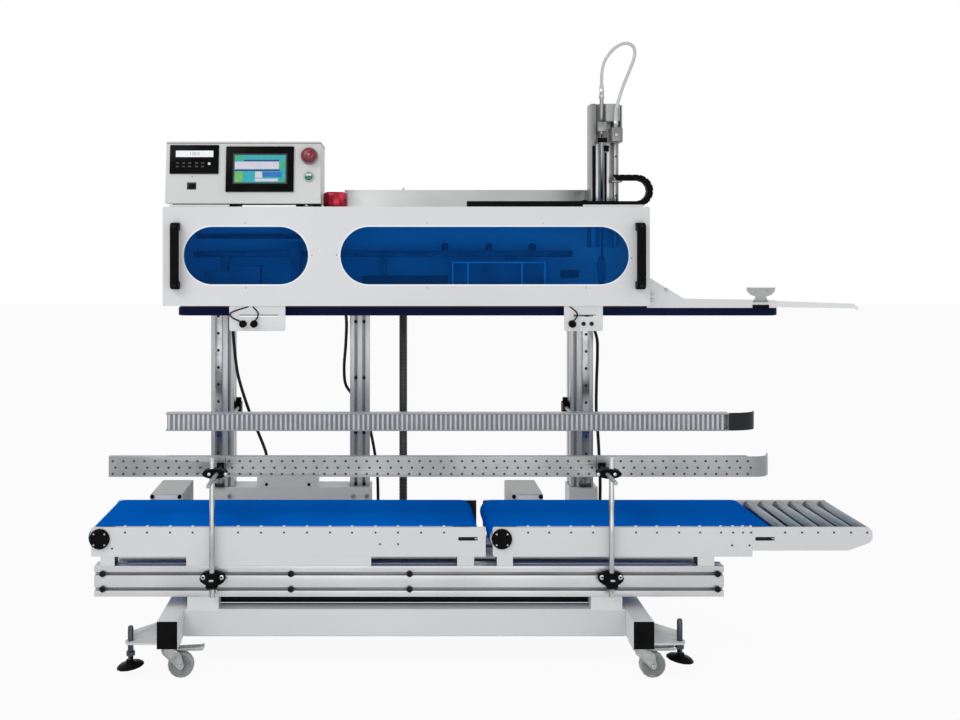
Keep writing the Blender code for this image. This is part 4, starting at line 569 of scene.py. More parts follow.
def smoothRoute(points, spacing):  # an even run of places along a curve through the points, and its length
    route = [place(*p) for p in points]
    route = [route[0] * 2 - route[1]] + route + [route[-1] * 2 - route[-2]]
    fine = []  # a smooth curve in short steps
    for a, b, c, d in zip(route, route[1:], route[2:], route[3:]):
        for step in range(cordSteps["between"]):
            t = step / cordSteps["between"]
            fine.append(0.5 * (2 * b + (c - a) * t + (2 * a - 5 * b + 4 * c - d) * t * t
                               + (3 * b - a - 3 * c + d) * t * t * t))
    fine.append(route[-2])
    lengths = [0.0]
    for a, b in zip(fine, fine[1:]):
        lengths.append(lengths[-1] + (b - a).length)
    count = max(2, round(lengths[-1] / spacing))
    even, spot = [], 0
    for number in range(count + 1):
        wanted = lengths[-1] * number / count
        while spot < len(fine) - 2 and lengths[spot + 1] < wanted:
            spot += 1
        share = (wanted - lengths[spot]) / (lengths[spot + 1] - lengths[spot])
        even.append(fine[spot].lerp(fine[spot + 1], share))
    return even, lengths[-1]


def tubeAlong(name, route, radius, roundness=4):  # a capped tube along a route, turned into a mesh
    line = bpy.data.curves.new(name, "CURVE")
    line.dimensions = "3D"
    line.bevel_depth = radius
    line.bevel_resolution = roundness
    line.use_fill_caps = True
    spline = line.splines.new("POLY")
    spline.points.add(len(route) - 1)
    for point, spot in zip(spline.points, route):
        point.co = (*spot, 1)
    tube = bpy.data.objects.new(name, line)
    bpy.context.scene.collection.objects.link(tube)
    pick(tube)
    bpy.ops.object.convert(target="MESH")
    return bpy.context.object


for cordName, points in cordRoutes.items():
    facts = cordFacts[cordName]
    route, long = smoothRoute(points, cordSteps["spacing"])
    tube = tubeAlong(cordName + "_line", route, facts["radius"])
    tube.data.materials.append(facts["surface"])
    smooth(tube, 60)
    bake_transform(tube)
    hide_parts(cordName)
    print("  ", cordName, round(long, 3), "m")


print("stage and light")
bpy.context.scene.view_settings.view_transform = "Standard"
studio = {"floorDark": (0.86, 0.865, 0.87), "floorLight": (0.90, 0.905, 0.91), "floorWhite": 0.93,
          "floorSize": 30, "world": 0.50}
lamps = {  # place, aim, size, power
    "keyLamp": ((-2.6, -3.0, 3.6), (0, 0, 0.9), (2.4, 2.0), 52.0),
    "fillLamp": ((3.0, -2.6, 2.6), (0, 0, 0.8), (2.4, 2.0), 10.0),
    "frontLamp": ((0, -4.2, 0.8), (0, 0, 0.5), (4.0, 1.6), 24.0),
}


def cameraSees(tree):  # 1 for what the camera, or a mirror or a window in its view, looks at
    rays = tree.nodes.new("ShaderNodeLightPath")
    either = tree.nodes.new("ShaderNodeMath")
    either.operation = "MAXIMUM"
    tree.links.new(rays.outputs["Is Camera Ray"], either.inputs[0])
    tree.links.new(rays.outputs["Is Glossy Ray"], either.inputs[1])
    both = tree.nodes.new("ShaderNodeMath")
    both.operation = "MAXIMUM"
    tree.links.new(either.outputs["Value"], both.inputs[0])
    tree.links.new(rays.outputs["Is Transmission Ray"], both.inputs[1])
    return both.outputs["Value"]


deselect()
bpy.ops.mesh.primitive_plane_add(size=studio["floorSize"], location=(0, 0, -0.0005))
floor = bpy.context.object
floor.name = "studioFloor"
floorPaint, floorTree, floorShader = surfaceNodes("studioFloorPaint")
floorShader.inputs["Roughness"].default_value = 0.9
floorPatch = span(floorTree, noiseOf(floorTree, 0.4, 2.0), 0, 1)
floorTree.links.new(tint(floorTree, floorPatch, studio["floorDark"], studio["floorLight"]),
                    floorShader.inputs["Base Color"])
glow = floorTree.nodes.new("ShaderNodeEmission")
glow.inputs["Color"].default_value = (1, 1, 1, 1)
floorMix = floorTree.nodes.new("ShaderNodeMixShader")
floorTree.links.new(span(floorTree, cameraSees(floorTree), 0.0, studio["floorWhite"], 0.0, 1.0),
                    floorMix.inputs["Fac"])
floorTree.links.new(floorShader.outputs["BSDF"], floorMix.inputs[1])
floorTree.links.new(glow.outputs["Emission"], floorMix.inputs[2])
floorTree.links.new(floorMix.outputs["Shader"], floorTree.nodes["Material Output"].inputs["Surface"])
floor.data.materials.append(floorPaint)

world = bpy.context.scene.world or bpy.data.worlds.new("studio")
bpy.context.scene.world = world
world.use_nodes = True
sky = world.node_tree
backing = sky.nodes["Background"]
backing.inputs["Color"].default_value = (1, 1, 1, 1)
sky.links.new(span(sky, cameraSees(sky), studio["world"], 1.0, 0.0, 1.0), backing.inputs["Strength"])


def addLamp(name, at, aim, size, power):
    deselect()
    bpy.ops.object.light_add(type="AREA", location=at)
    lamp = bpy.context.object
    lamp.name = name
    lamp.data.shape = "RECTANGLE"
    lamp.data.size = size[0]
    lamp.data.size_y = size[1]
    lamp.data.energy = power
    lamp.rotation_euler = (Vector(aim) - Vector(at)).to_track_quat("-Z", "Y").to_euler()


for name, (at, aim, size, power) in lamps.items():
    addLamp(name, at, aim, size, power)


print("floor frame and casters")
frameLook = {"legs": (-0.616, 0.744), "legFront": -0.095, "legBack": 0.7628, "legMiddle": 0.134,
             "cap": (0.0585, 0.0785), "boxGland": -0.416, "beamGland": (-0.018, 0.664), "glandHalf": 0.0095,
             "boxScrews": ((-0.412, 0.629, 0.391), (-0.262, 0.629, 0.391)),
             "beamBolts": ((-0.105, 0.619, 0.352), (-0.058, 0.619, 0.352), (-0.540, 0.619, 0.352)),
             "spareGland": (-0.330, 0.664, 0.4168)}
frameSkin = dressed("base_frame", whitePaint)
glandX, glandY = frameLook["beamGland"]
paintPart(frameSkin, blackMoulding, lambda x, y, z: y > 0.60 and (
    (abs(x - frameLook["boxGland"]) < frameLook["glandHalf"] and z > 0.4172)
    or (max(abs(x - glandX), abs(y - glandY)) < frameLook["glandHalf"] and z < 0.21)))
caps = [facePlate((x, frameLook["legFront"], frameLook["legMiddle"]), frameLook["cap"], 0.003, "front", 0.0012)
        for x in frameLook["legs"]]
caps += [facePlate((x, frameLook["legBack"], frameLook["legMiddle"]), frameLook["cap"], 0.002, "back", 0.0008)
         for x in frameLook["legs"]]
mount("legCaps", caps, blackMoulding, "machine")
scatter("junctionScrews", screwHead(0.0055, 0.003), frameLook["boxScrews"], "front", blackOxide, "machine")
scatter("beamBolts", screwHead(0.0085, 0.006), frameLook["beamBolts"], "front", zincPlate, "machine")
mount("junctionGland", disc(frameLook["spareGland"], 0.012, 0.006, "top", 16, 0.001), blackMoulding, "machine")

casterLook = {"swivels": {"left": -0.616, "right": 0.744}, "rows": {"front": -0.057, "rear": 0.705},
              "trail": 0.033, "axle": 0.0375, "half": 0.014, "hub": 0.0265, "pedalPin": (0.0945, 0.0860)}
footLook = {"sides": {"left": (-0.730, 0.022), "right": (0.858, 0.042)},  # place, and height off the floor
            "rows": {"front": -0.052, "rear": 0.690},
            "stud": 0.0135, "threadFrom": 0.054, "threadRadius": 0.0084, "pitch": 0.0030, "turns": 21}
for side, swivelX in casterLook["swivels"].items():
    for row, swivelY in casterLook["rows"].items():
        dressed(f"caster_fork_{row}_{side}", zincPlate, 0.0004)
        wheelSkin = dressed(f"caster_wheel_{row}_{side}", greyWheel, 0.0005)
        axleX, axleZ, half = swivelX + casterLook["trail"], casterLook["axle"], casterLook["half"]
        paintPart(wheelSkin, wheelHub, lambda x, y, z: math.hypot(x - axleX, z - axleZ) < casterLook["hub"])
        nuts = [putOn(screwHead(0.0075, 0.004, 0.45, 6), (axleX, swivelY + way * (half + 0.0042), axleZ), face)
                for way, face in ((-1, "front"), (1, "back"))]
        if row == "front":
            pinX, pinZ = casterLook["pedalPin"]
            nuts.append(addRod((swivelY - half, swivelY + half), (swivelX + pinX, pinZ), "Y", 0.0055, 16, 0.0008))
        mount(f"casterNuts_{row}_{side}", nuts, brightSteel, f"fork_{row}_{side}")

        footX, lift = footLook["sides"][side]
        footY = footLook["rows"][row]
        footSkin = dressed(f"levelling_foot_{row}_{side}", blackMoulding)
        paintPart(footSkin, darkSteel, lambda x, y, z: (
            math.hypot(x - footX, y - footY) < footLook["stud"] and z > lift + 0.030))
        rings = [disc((footX, footY, lift + footLook["threadFrom"] + footLook["pitch"] * turn),
                      footLook["threadRadius"], 0.0016, "top", 14, 0.0006) for turn in range(footLook["turns"])]
        mount(f"footThread_{row}_{side}", rings, darkSteel, f"foot_{row}_{side}", (), 25)

print("bed")
bedBack = 0.320  # the conveyors' rear face
railLook = {"bolts": (-0.825, -0.271, 0.078, 0.984), "slots": (0.2338, 0.2788), "slotHalf": 0.0095,
            "fronts": {"front": 0.0, "rear": 0.275}, "deep": 0.045, "ends": {"left": -0.850, "right": 1.003},
            "coreScrews": ((0.0225, 0.2563), (0.2975, 0.2563))}
for name, front in railLook["fronts"].items():
    railSkin = dressed("bed_rail_" + name, railAluminium, 0.0006)
    # Painted shade: the rail's slot grooves are mid grey.
    paintPart(railSkin, paintedGrooveShade, lambda x, y, z: (
        min(abs(z - slot) for slot in railLook["slots"]) < railLook["slotHalf"]
        and min(y - front, front + railLook["deep"] - y) > 0.0005))
for name, y, face in (("railBolts", 0.0, "front"), ("rearRailBolts", bedBack, "back")):
    spots = [(x, y, z) for x in railLook["bolts"] for z in railLook["slots"]]
    scatter(name, screwHead(0.0100, 0.005, 0.5, 6), spots, face, blackOxide, "machine")
for face, x in railLook["ends"].items():
    scatter("railCoreScrews_" + face, screwHead(0.0060, 0.003), [(x, y, z) for y, z in railLook["coreScrews"]],
            face, zincPlate, "machine")

# Near-black sheets set in the dark gaps under the conveyors and behind the belts, as painted shadow.
bedShadeLook = {"low": (-0.5875, 0.7150), "belts": ((-0.826, 0.268), (0.334, 1.000)), "edge": 0.0006}
lipsAndShadeSheets = [addBlock(bedShadeLook["low"], (0.060, 0.064), (0.1740, 0.2100), bedShadeLook["edge"])]
lipsAndShadeSheets += [addBlock(ends, (0.296, 0.300), (0.3022, 0.3460), bedShadeLook["edge"]) for ends in bedShadeLook["belts"]]
mount("bedShadeSheets", lipsAndShadeSheets, blackOxide, "machine")

photoFront = {"zero": 383, "perMetre": 339.96}  # the conveyors' front face as the photo shows it, in its columns


def fromColumns(marks):
    return [(mark - photoFront["zero"]) / photoFront["perMetre"] for mark in marks]


smallScrew = {"radius": 0.0030, "height": 0.0014, "socket": 0.5, "steps": 8}
screwLine = 0.4002  # the height of the row of screws along the conveyors and the roller table
conveyorLook = {  # screws are given by the photo's columns, the rest in metres
    "left": {"drum": -0.8335, "idler": 0.250, "motor": (-0.756, -0.650),
             "screws": (125, 147, 170, 192.5, 238, 261, 284, 307, 330, 352, 375.5, 398, 421, 444),
             "low": ((-0.797, 0.353), (-0.0088, 0.3663), (0.0441, 0.3663))},
    "right": {"drum": 0.3494, "idler": 1.124, "motor": (0.416, 0.520),
              "screws": (528, 549, 571, 593, 636, 657, 679, 700, 721, 733, 743, 751),
              "low": ((1.0266, 0.3625), (1.0780, 0.3625))},
}
drumLook = {"z": 0.3815, "capHalf": 0.031, "capFront": -0.0086, "notchRing": 0.0225}
tensionLook = {"across": (0.004, 0.3815), "radius": 0.0026, "ringRadius": 0.0031, "rings": 11, "pitch": 0.0024}
motorLook = {"screwY": 0.3190, "screwZ": 0.4262, "back": 0.520, "ventFrom": 0.345, "ventStep": 0.009, "vents": 8}
for side, look in conveyorLook.items():
    drum, idler, motor = look["drum"], look["idler"], look["motor"]
    skin = dressed("conveyor_frame_" + side, whitePaint)
    paintPart(skin, blackMoulding, lambda x, y, z: (
        abs(x - drum) < drumLook["capHalf"] and (y < -0.0004 or y > bedBack + 0.0004)))
    paintPart(skin, greyPaint, lambda x, y, z: y > bedBack + 0.0004 and abs(x - drum) > drumLook["capHalf"])
    # Painted shade: the frame's inner sides under the belt are near-black.
    paintPart(skin, shadeAndDarkParts, lambda x, y, z: 0.0060 < y < 0.3140 and z < 0.40)
    dressed("drive_drum_" + side, brightSteel)
    dressed("idler_drum_" + side, brightSteel)

    rowX = fromColumns(look["screws"])
    spots = [(x, 0.0, screwLine) for x in rowX] + [(x, 0.0, z) for x, z in look["low"]]
    scatter("sideScrews_" + side, screwHead(**smallScrew), spots, "front", darkSteel, "machine")
    clear = [(x, bedBack, z) for x, y, z in spots if not motor[0] - 0.006 < x < motor[1] + 0.006]
    scatter("rearSideScrews_" + side, screwHead(**smallScrew), clear, "back", darkSteel, "machine")
    tabs = [facePlate((x, 0.0045, 0.4148), (0.0085, 0.0055), 0.0046, "top", 0.0012) for x in rowX]
    mount("beltTabs_" + side, tabs, whiteMoulding, "machine")
    notches = []
    for k in range(4):
        turn = math.pi / 4 + k * math.pi / 2
        spot = (drum + drumLook["notchRing"] * math.cos(turn), drumLook["capFront"],
                drumLook["z"] + drumLook["notchRing"] * math.sin(turn))
        notches.append(disc(spot, 0.0028, 0.0010, "front", 10))
    mount("capScrews_" + side, notches, zincPlate, "machine")

    shade = addBlock((idler - 0.0285, idler + 0.0200), (0.0006, 0.0016), (0.3768, 0.3862), 0.0002)
    mount("tensionSlot_" + side, shade, blackOxide, "machine")
    boltX = idler + 0.006
    bolt = [addRod((boltX, idler + 0.052), tensionLook["across"], "X", tensionLook["radius"], 12)]
    for k in range(tensionLook["rings"]):
        step = tensionLook["pitch"] * k
        bolt.append(addRod((boltX + 0.004 + step, boltX + 0.0052 + step), tensionLook["across"],
                           "X", tensionLook["ringRadius"], 12))
    bolt.append(addBlock((idler + 0.030, idler + 0.036), (0.0002, 0.0078), (0.3770, 0.3860), 0.0006))
    mount("tensionBolt_" + side, bolt, zincPlate, "machine")

    thumbs = [putOn(screwHead(0.0066, 0.0085, 0.0, 14), (x, motorLook["screwY"], motorLook["screwZ"]), "front")
              for x in (motor[0] + 0.008, motor[1] - 0.009)]
    mount("motorScrews_" + side, thumbs, blackMoulding, "machine")
    motorMiddle = (motor[0] + motor[1]) / 2
    vents = [facePlate((motorMiddle, motorLook["back"], motorLook["ventFrom"] + motorLook["ventStep"] * k),
                       (0.060, 0.0035), 0.0008, "back", 0.0003) for k in range(motorLook["vents"])]
    mount("motorVents_" + side, vents, slotShade, "machine")

beltLook = {"deep": (0.001, 0.130, 0.620), "bright": (0.001, 0.175, 0.780), "patch": 3.0, "weave": 1600.0,
            "rough": (0.34, 0.48)}
beltBlue, beltTree, beltShader = surfaceNodes("conveyorBelt")
beltShader.inputs["Specular IOR Level"].default_value = 0.0
beltPatch = noiseOf(beltTree, beltLook["patch"], 3.0, (1, 0.25, 1))
beltWeave = noiseOf(beltTree, beltLook["weave"], 3.0)
beltTree.links.new(tint(beltTree, span(beltTree, beltPatch, 0, 1), beltLook["deep"], beltLook["bright"]),
                   beltShader.inputs["Base Color"])
beltTree.links.new(span(beltTree, beltWeave, *beltLook["rough"]), beltShader.inputs["Roughness"])
dent(beltTree, beltShader, beltWeave, 0.15, 0.0002)
dressed("conveyor_belt_left", beltBlue)
dressed("conveyor_belt_right", beltBlue)

print("roller table and guides")
tableLook = {"screws": (785, 802, 818, 834, 851, 867), "screw": {**smallScrew, "radius": 0.0032}, "rollers": 6}
dressed("roller_table_frame", whitePaint)
tableX = fromColumns(tableLook["screws"])
scatter("tableScrews", screwHead(**tableLook["screw"]), [(x, 0.0, screwLine) for x in tableX],
        "front", darkSteel, "machine")
scatter("rearTableScrews", screwHead(**tableLook["screw"]), [(x, bedBack, screwLine) for x in tableX],
        "back", zincPlate, "machine")
for number in range(tableLook["rollers"]):
    dressed(f"table_roller_{number + 1}", rollerZinc, 0.0006)

postLook = {"posts": {"left": -0.500, "right": 0.668}, "clamp": (0.2435, 0.2925), "eye": 0.027, "eyeZ": 0.2735}
for side, postX in postLook["posts"].items():
    skin = dressed("guide_post_" + side, postSteel)
    paintPart(skin, blackMoulding, lambda x, y, z: postLook["clamp"][0] <= z <= postLook["clamp"][1])
    eyeX = (postX - postLook["eye"], postX + postLook["eye"])
    eyes = [disc((x, -0.0148, postLook["eyeZ"]), 0.0072, 0.0030, "front", 20, 0.0008) for x in eyeX]
    eyes.append(facePlate((postX, -0.0368, 0.2700), (0.013, 0.0055), 0.0012, "front", 0.0004))
    eyes.append(disc((postX + 0.0095, -0.001, 0.2280), 0.0045, 0.0050, "front", 14, 0.0006))
    mount("clampScrews_" + side, eyes, brightSteel, "machine")
    hollow = [disc((x, -0.0179, postLook["eyeZ"]), 0.0032, 0.0004, "front", 6) for x in eyeX]
    mount("clampSockets_" + side, hollow, slotShade, "machine")

guideLook = {"x": (-0.819, 1.105), "face": 0.0461, "pitch": 0.0316, "rows": (0.6000, 0.5805, 0.5620),
             "hole": 0.0037, "bare": ((-0.530, -0.472), (0.638, 0.692)),
             "rods": (-0.4845, 0.6525), "seams": (-0.4700, 0.6365)}
guideSkin = dressed("front_guide_rail", perforatedSteel)
paintPart(guideSkin, blackMoulding, lambda x, y, z: -0.0366 <= y <= -0.0034 and 0.565 < z < 0.5955)
paintPart(guideSkin, blackMoulding, lambda x, y, z: (
    0.0375 <= y <= 0.0455 and 0.5635 < z < 0.5965 and min(abs(x - rod) for rod in guideLook["rods"]) < 0.012))
holes = []
for row, z in enumerate(guideLook["rows"]):
    x = guideLook["x"][0] + 0.012 + (0.27 * guideLook["pitch"] if row == 1 else 0)
    while x < guideLook["x"][1]:
        if not any(low < x < high for low, high in guideLook["bare"]):
            holes.append((x, guideLook["face"], z))
        x += guideLook["pitch"]
scatter("guideHoles", screwHead(guideLook["hole"], 0.0004, 0.72, 12), holes, "front", holeShade, "front_guide")
seams = [facePlate((x, guideLook["face"], 0.5835), (0.0014, 0.058), 0.0005) for x in guideLook["seams"]]
mount("guideSeams", seams, slotShade, "front_guide")
tips = [disc((x + way * 0.024 + inward, -0.0360, 0.580), 0.0050, 0.0030, "front", 16, 0.0006)
        for x, inward in zip(guideLook["rods"], (0.0025, -0.0025)) for way in (-1, 1)]
mount("rodTips", tips, brightSteel, "front_guide")

rearLook = {"rollers": (0.6395, 0.6905), "rollerEnd": 1.125, "lipsAndShadeSheets": (0.6915, 0.6385), "lipEnds": (-0.707, 1.124)}
rollerLow, rollerHigh = rearLook["rollers"]
rearSkin = dressed("rear_guide_rail", rollerGrey)
paintPart(rearSkin, rollerPale, lambda x, y, z: (
    y < 0.3345 and rollerLow < z < rollerHigh and x < rearLook["rollerEnd"]))
# Painted shade: the notch bottoms between the rollers are mid grey.
paintPart(rearSkin, paintedRollerGapShade, lambda x, y, z: (
    0.3332 < y < 0.3372 and rollerLow < z < rollerHigh and x < rearLook["rollerEnd"]))
paintPart(rearSkin, shadeAndDarkParts, lambda x, y, z: x > 1.128)
paintPart(rearSkin, blackMoulding, lambda x, y, z: y > 0.6355 and z > 0.6405)
strips = [addBlock(rearLook["lipEnds"], (0.3300, 0.3312), (z - 0.002, z + 0.002), 0.0005) for z in rearLook["lipsAndShadeSheets"]]
mount("rollerLips", strips, greyPaint, "rear_guide")

print("columns and lift")
columnLook = {"left": {"x": -0.567, "railX": -0.579, "hole": 0.987, "half": 0.0395, "front": 0.6240},
              "right": {"x": 0.702, "railX": 0.714, "hole": 0.923, "half": 0.0395, "front": 0.6240},
              "middle": {"x": -0.082, "half": 0.0340, "front": 0.6350}}
drillLook = {"pitch": 0.060, "below": 9, "from": 0.405, "to": 1.350, "face": 0.6101}
for side in ("left", "right"):
    look = columnLook[side]
    columnSkin = dressed("column_" + side, postAluminium, 0.0005)
    paintPart(columnSkin, railStrip, lambda x, y, z: y < 0.6236)
    # Painted shade: the groove beside the linear rail is mid grey.
    paintPart(columnSkin, paintedGrooveShade, lambda x, y, z: 0.6290 < y < 0.6990 and abs(x - look["x"]) < 0.036)
    drilled = []
    z = look["hole"] - drillLook["pitch"] * drillLook["below"]
    while z < drillLook["to"]:
        if z > drillLook["from"]:
            drilled.append((look["railX"], drillLook["face"], z))
        z += drillLook["pitch"]
    scatter("railHoles_" + side, screwHead(0.0052, 0.0004, 0.75, 12), drilled, "front", slotShade, "machine")
middleX = columnLook["middle"]["x"]
middleSkin = dressed("column_middle", postAluminium, 0.0005)
# Painted shade: the middle column's groove is mid grey.
paintPart(middleSkin, paintedGrooveShade, lambda x, y, z: 0.6390 < y < 0.6990 and abs(x - middleX) < 0.031)
middleSpots = [(middleX + way * 0.0145, 0.6345, z) for way in (-1, 1) for z in (0.965, 0.767, 0.573, 0.392)]
scatter("middleBolts", screwHead(0.0060, 0.0035), middleSpots, "front", blackOxide, "machine")
stops = [addBlock(ends, (0.6090, 0.6235), (0.384, 0.400), 0.001) for ends in ((0.692, 0.732), (-0.599, -0.559))]
mount("railFeet", stops, darkSteel, "machine")

screwLook = {"x": 0.072, "y": 0.660, "radius": 0.0145, "pitch": 0.012, "from": 0.215, "to": 1.340}
dressed("lift_screw", oiledSteel)
turns = []
z = screwLook["from"]
while z < screwLook["to"]:
    turns.append((screwLook["x"], screwLook["y"], z))
    z += screwLook["pitch"]
scatter("liftThread", screwHead(screwLook["radius"], 0.0045, 0.0, 20, 0.0), turns, "top", oiledSteel, "machine",
        60)

print("head")
headLook = {"back": 0.330, "glands": (-0.500, -0.140, 0.640), "glandZ": 1.090, "glandHalf": 0.0095}
headSkin = dressed("head_housing", whitePaint, 0.0004)
paintPart(headSkin, blackMoulding, lambda x, y, z: y < 0.0597 and z < 1.0205)
paintPart(headSkin, blackMoulding, lambda x, y, z: (
    y > headLook["back"] + 0.0005 and abs(z - headLook["glandZ"]) < headLook["glandHalf"]
    and min(abs(x - gland) for gland in headLook["glands"]) < headLook["glandHalf"]))
# Painted shade: the head's inner faces low down behind the front are near-black.
paintPart(headSkin, shadeAndDarkParts, lambda x, y, z: 1.0295 < z < 1.0615 and y > 0.095)
paintPart(headSkin, beamSteel, lambda x, y, z: z > 1.3595 and y > 0.250)
paintPart(headSkin, greyPaint, lambda x, y, z: (
    y > headLook["back"] + 0.0005 and abs(z - headLook["glandZ"]) > headLook["glandHalf"] and z < 1.3))

coverLook = {"y": 0.056, "windows": ((-0.598, -0.223), (-0.129, 0.737)), "z": (1.126, 1.301),
             "rim": {"grow": 0.0030, "width": 0.0042, "thick": 0.0009},
             "screws": ((-0.4132, 1.311), (-0.410, 1.1170), (-0.2130, 1.215), (-0.1390, 1.215), (0.1317, 1.311),
                        (0.1317, 1.1170), (0.479, 1.310), (0.6078, 1.1170), (0.7440, 1.206))}
dressed("front_cover", whitePaint, 0.0, 25)
rims = [stadiumRing(x, coverLook["z"], coverLook["y"] + 0.0002, **coverLook["rim"]) for x in coverLook["windows"]]
mount("windowRims", rims, rimPaint, "cover")
scatter("coverScrews", screwHead(0.0024, 0.0012, 0.5, 8), [(x, coverLook["y"], z) for x, z in coverLook["screws"]],
        "front", zincPlate, "cover")

handleLook = {"x": {"left": -0.6195, "right": 0.7675}, "z": (1.113, 1.312), "reach": 0.034, "half": 0.013,
              "thick": 0.013, "grip": 0.024, "bend": 0.016, "round": 0.0032, "plugs": (1.124, 1.301)}
near, far = coverLook["y"] - 0.0003, coverLook["y"] - handleLook["reach"]
low, high = handleLook["z"]
for side, x in handleLook["x"].items():
    bow = addBlock((x - handleLook["half"], x + handleLook["half"]), (far, near), (low, high))
    frontY = place(0, far, 0).y
    choose(bow, "EDGE", lambda middle, way: abs(way.x) > 0.9 and abs(middle.y - frontY) < 0.001)
    bpy.ops.mesh.bevel(offset=handleLook["bend"], segments=6)
    deselect()
    hollow = addBlock((x - handleLook["half"] - 0.01, x + handleLook["half"] + 0.01),
                      (far + handleLook["thick"], near + 0.01),
                      (low + handleLook["grip"], high - handleLook["grip"]))
    pick(bow)
    cutter = bow.modifiers.new("opening", "BOOLEAN")
    cutter.object = hollow
    bpy.ops.object.modifier_apply(modifier=cutter.name)
    bpy.data.objects.remove(hollow)
    bevelPiece(bow, handleLook["round"], 3)
    mount("bowHandle_" + side, bow, blackMoulding, "cover", nodes=["cover_handle_" + side])
    plugs = [disc((x, far + 0.0003, z), 0.0042, 0.0006, "front", 16) for z in handleLook["plugs"]]
    mount("handlePlugs_" + side, plugs, blackOxide, "cover")

print("control box")


def liftOf(x, y, z):  # how far a point stands out of the leaning panel
    return (panelDepth(z) - y) * math.cos(panelLean)


boxSkin = dressed("control_box", boxPaint, 0.0, 8)
paintPart(boxSkin, blackMoulding, lambda x, y, z: liftOf(x, y, z) > 0.0002 and x < -0.48 and z > 1.45)
paintPart(boxSkin, brightSteel, lambda x, y, z: (
    liftOf(x, y, z) > -0.002 and math.hypot(x + 0.223, z - 1.450) < 0.018))
# Painted shade: the control box's underside is near-black.
paintPart(boxSkin, shadeAndDarkParts, lambda x, y, z: z < 1.3688)


def panelPlate(x, z, lift, thick, edge=0.0):  # x and z are the plate's ends, as seen from the front
    spot = onPanel((x[0] + x[1]) / 2, (z[0] + z[1]) / 2, lift)
    return facePlate(spot, (x[1] - x[0], (z[1] - z[0]) * (1 / math.cos(panelLean))), thick, "panel", edge)


meterLook = {"face": ((-0.6400, -0.4950), (1.4590, 1.5450)), "display": ((-0.6228, -0.5102), (1.5086, 1.5280)),
             "keysX": (-0.617, -0.599, -0.581, -0.560, -0.542), "keysZ": (1.4905, 1.4800), "key": (0.0045, 0.0022),
             "lamp": (-0.5219, 1.4885), "digits": (-0.5665, 1.5183), "reading": "120.0", "lift": 0.0051}
mount("meterFace", panelPlate(*meterLook["face"], 0.0040, 0.0012, 0.0004), glossBlack, "head")
mount("meterDisplay", panelPlate(*meterLook["display"], meterLook["lift"], 0.0005), displayWhite,
      "head")
keyX, keyZ = meterLook["key"]
keys = [panelPlate((x - keyX, x + keyX), (z - keyZ, z + keyZ), meterLook["lift"], 0.0004)
        for x in meterLook["keysX"] for z in meterLook["keysZ"]]
mount("meterKeys", keys, holeShade, "head")
mount("meterLamp", disc(onPanel(*meterLook["lamp"], meterLook["lift"]), 0.0042, 0.0008, "panel", 20, 0.0002),
      whiteMoulding, "head")
mount("panelDot", disc(onPanel(-0.5728, 1.4508, -0.0002), 0.0022, 0.0012, "panel", 14, 0.0003), keyGrey, "head")
deselect()
bpy.ops.object.text_add()
digits = bpy.context.object
digits.data.body = meterLook["reading"]
digits.data.size = 0.0135
digits.data.align_x = "CENTER"
digits.data.align_y = "CENTER"
digits.data.extrude = 0.0001
bpy.ops.object.convert(target="MESH")
digits = putOn(bpy.context.object, onPanel(*meterLook["digits"], 0.0057), "panel")
mount("meterDigits", digits, keyGrey, "head")

dressed("touch_screen", glossBlack, 0.0006)
photoPanel = {"zero": 383, "eyeRow": 230, "perMetre": 334, "eye": 1.290}  # the panel as the photo shows it
screenLook = (  # finish, ends in the photo's columns, ends in its rows, lift
    (screenGlass, (232.6, 286.9), (153.6, 184.1), 0.0060),
    (screenTeal, (234.2, 285.3), (155.1, 182.6), 0.0061),
    (screenGreen, (234.2, 243.5), (155.5, 159.6), 0.0063),
    (screenNavy, (243.5, 279.0), (159.7, 161.4), 0.0063),
    (screenPale, (234.5, 278.6), (161.7, 169.2), 0.0063),
    (screenGreen, (279.2, 284.6), (161.0, 170.0), 0.0063),
    (screenNavy, (234.5, 279.5), (169.6, 171.3), 0.0063),
    (screenLime, (234.5, 242.6), (171.8, 182.2), 0.0063),
    (screenPale, (254.8, 261.8), (171.8, 178.0), 0.0063),
    (screenBlue, (262.4, 281.8), (172.2, 177.2), 0.0063),
    (screenPale, (254.8, 277.8), (178.8, 181.6), 0.0063),
    (screenGreen, (279.2, 284.6), (178.4, 182.0), 0.0063),
)
for number, (finish, columns, rows, lift) in enumerate(screenLook):
    ends = [(mark - photoPanel["zero"]) / photoPanel["perMetre"] for mark in columns]
    heights = [photoPanel["eye"] - (mark - photoPanel["eyeRow"]) / photoPanel["perMetre"]
               for mark in reversed(rows)]
    thick = 0.0002 if number == 0 else 0.0003
    mount(f"screenField_{number}", panelPlate(ends, heights, lift, thick), finish, "head")

stopLook = {"at": (-0.222, 1.512), "marks": 3, "markRing": 0.0115, "markLift": 0.0289, "topLift": 0.0296}
dressed("emergency_stop", redMoulding)
collar = [disc(onPanel(*stopLook["at"], -0.0002), 0.0264, 0.0024, "panel", 40, 0.0006),
          disc(onPanel(*stopLook["at"], 0.0020), 0.0246, 0.0012, "panel", 40, 0.0004)]
mount("stopCollar", collar, keyGrey, "head")
marks = []
stopX, stopZ = stopLook["at"]
for k in range(stopLook["marks"]):
    turn = math.pi / 2 + k * 2 * math.pi / stopLook["marks"]
    spot = onPanel(stopX + stopLook["markRing"] * math.cos(turn), stopZ + stopLook["markRing"] * math.sin(turn),
                   stopLook["markLift"])
    marks.append(facePlate(spot, (0.0070, 0.0016), 0.0006, "panel", 0.0, turn + math.pi / 2))
marks.append(disc(onPanel(*stopLook["at"], stopLook["topLift"]), 0.0045, 0.0006, "panel", 20, 0.0002))
mount("stopMarks", marks, paleRed, "stop_button")
dressed("start_button", greenMoulding)
mount("startCap", panelPlate((-0.2315, -0.2145), (1.4515, 1.4580), 0.0079, 0.0004), whiteMoulding, "green_button")

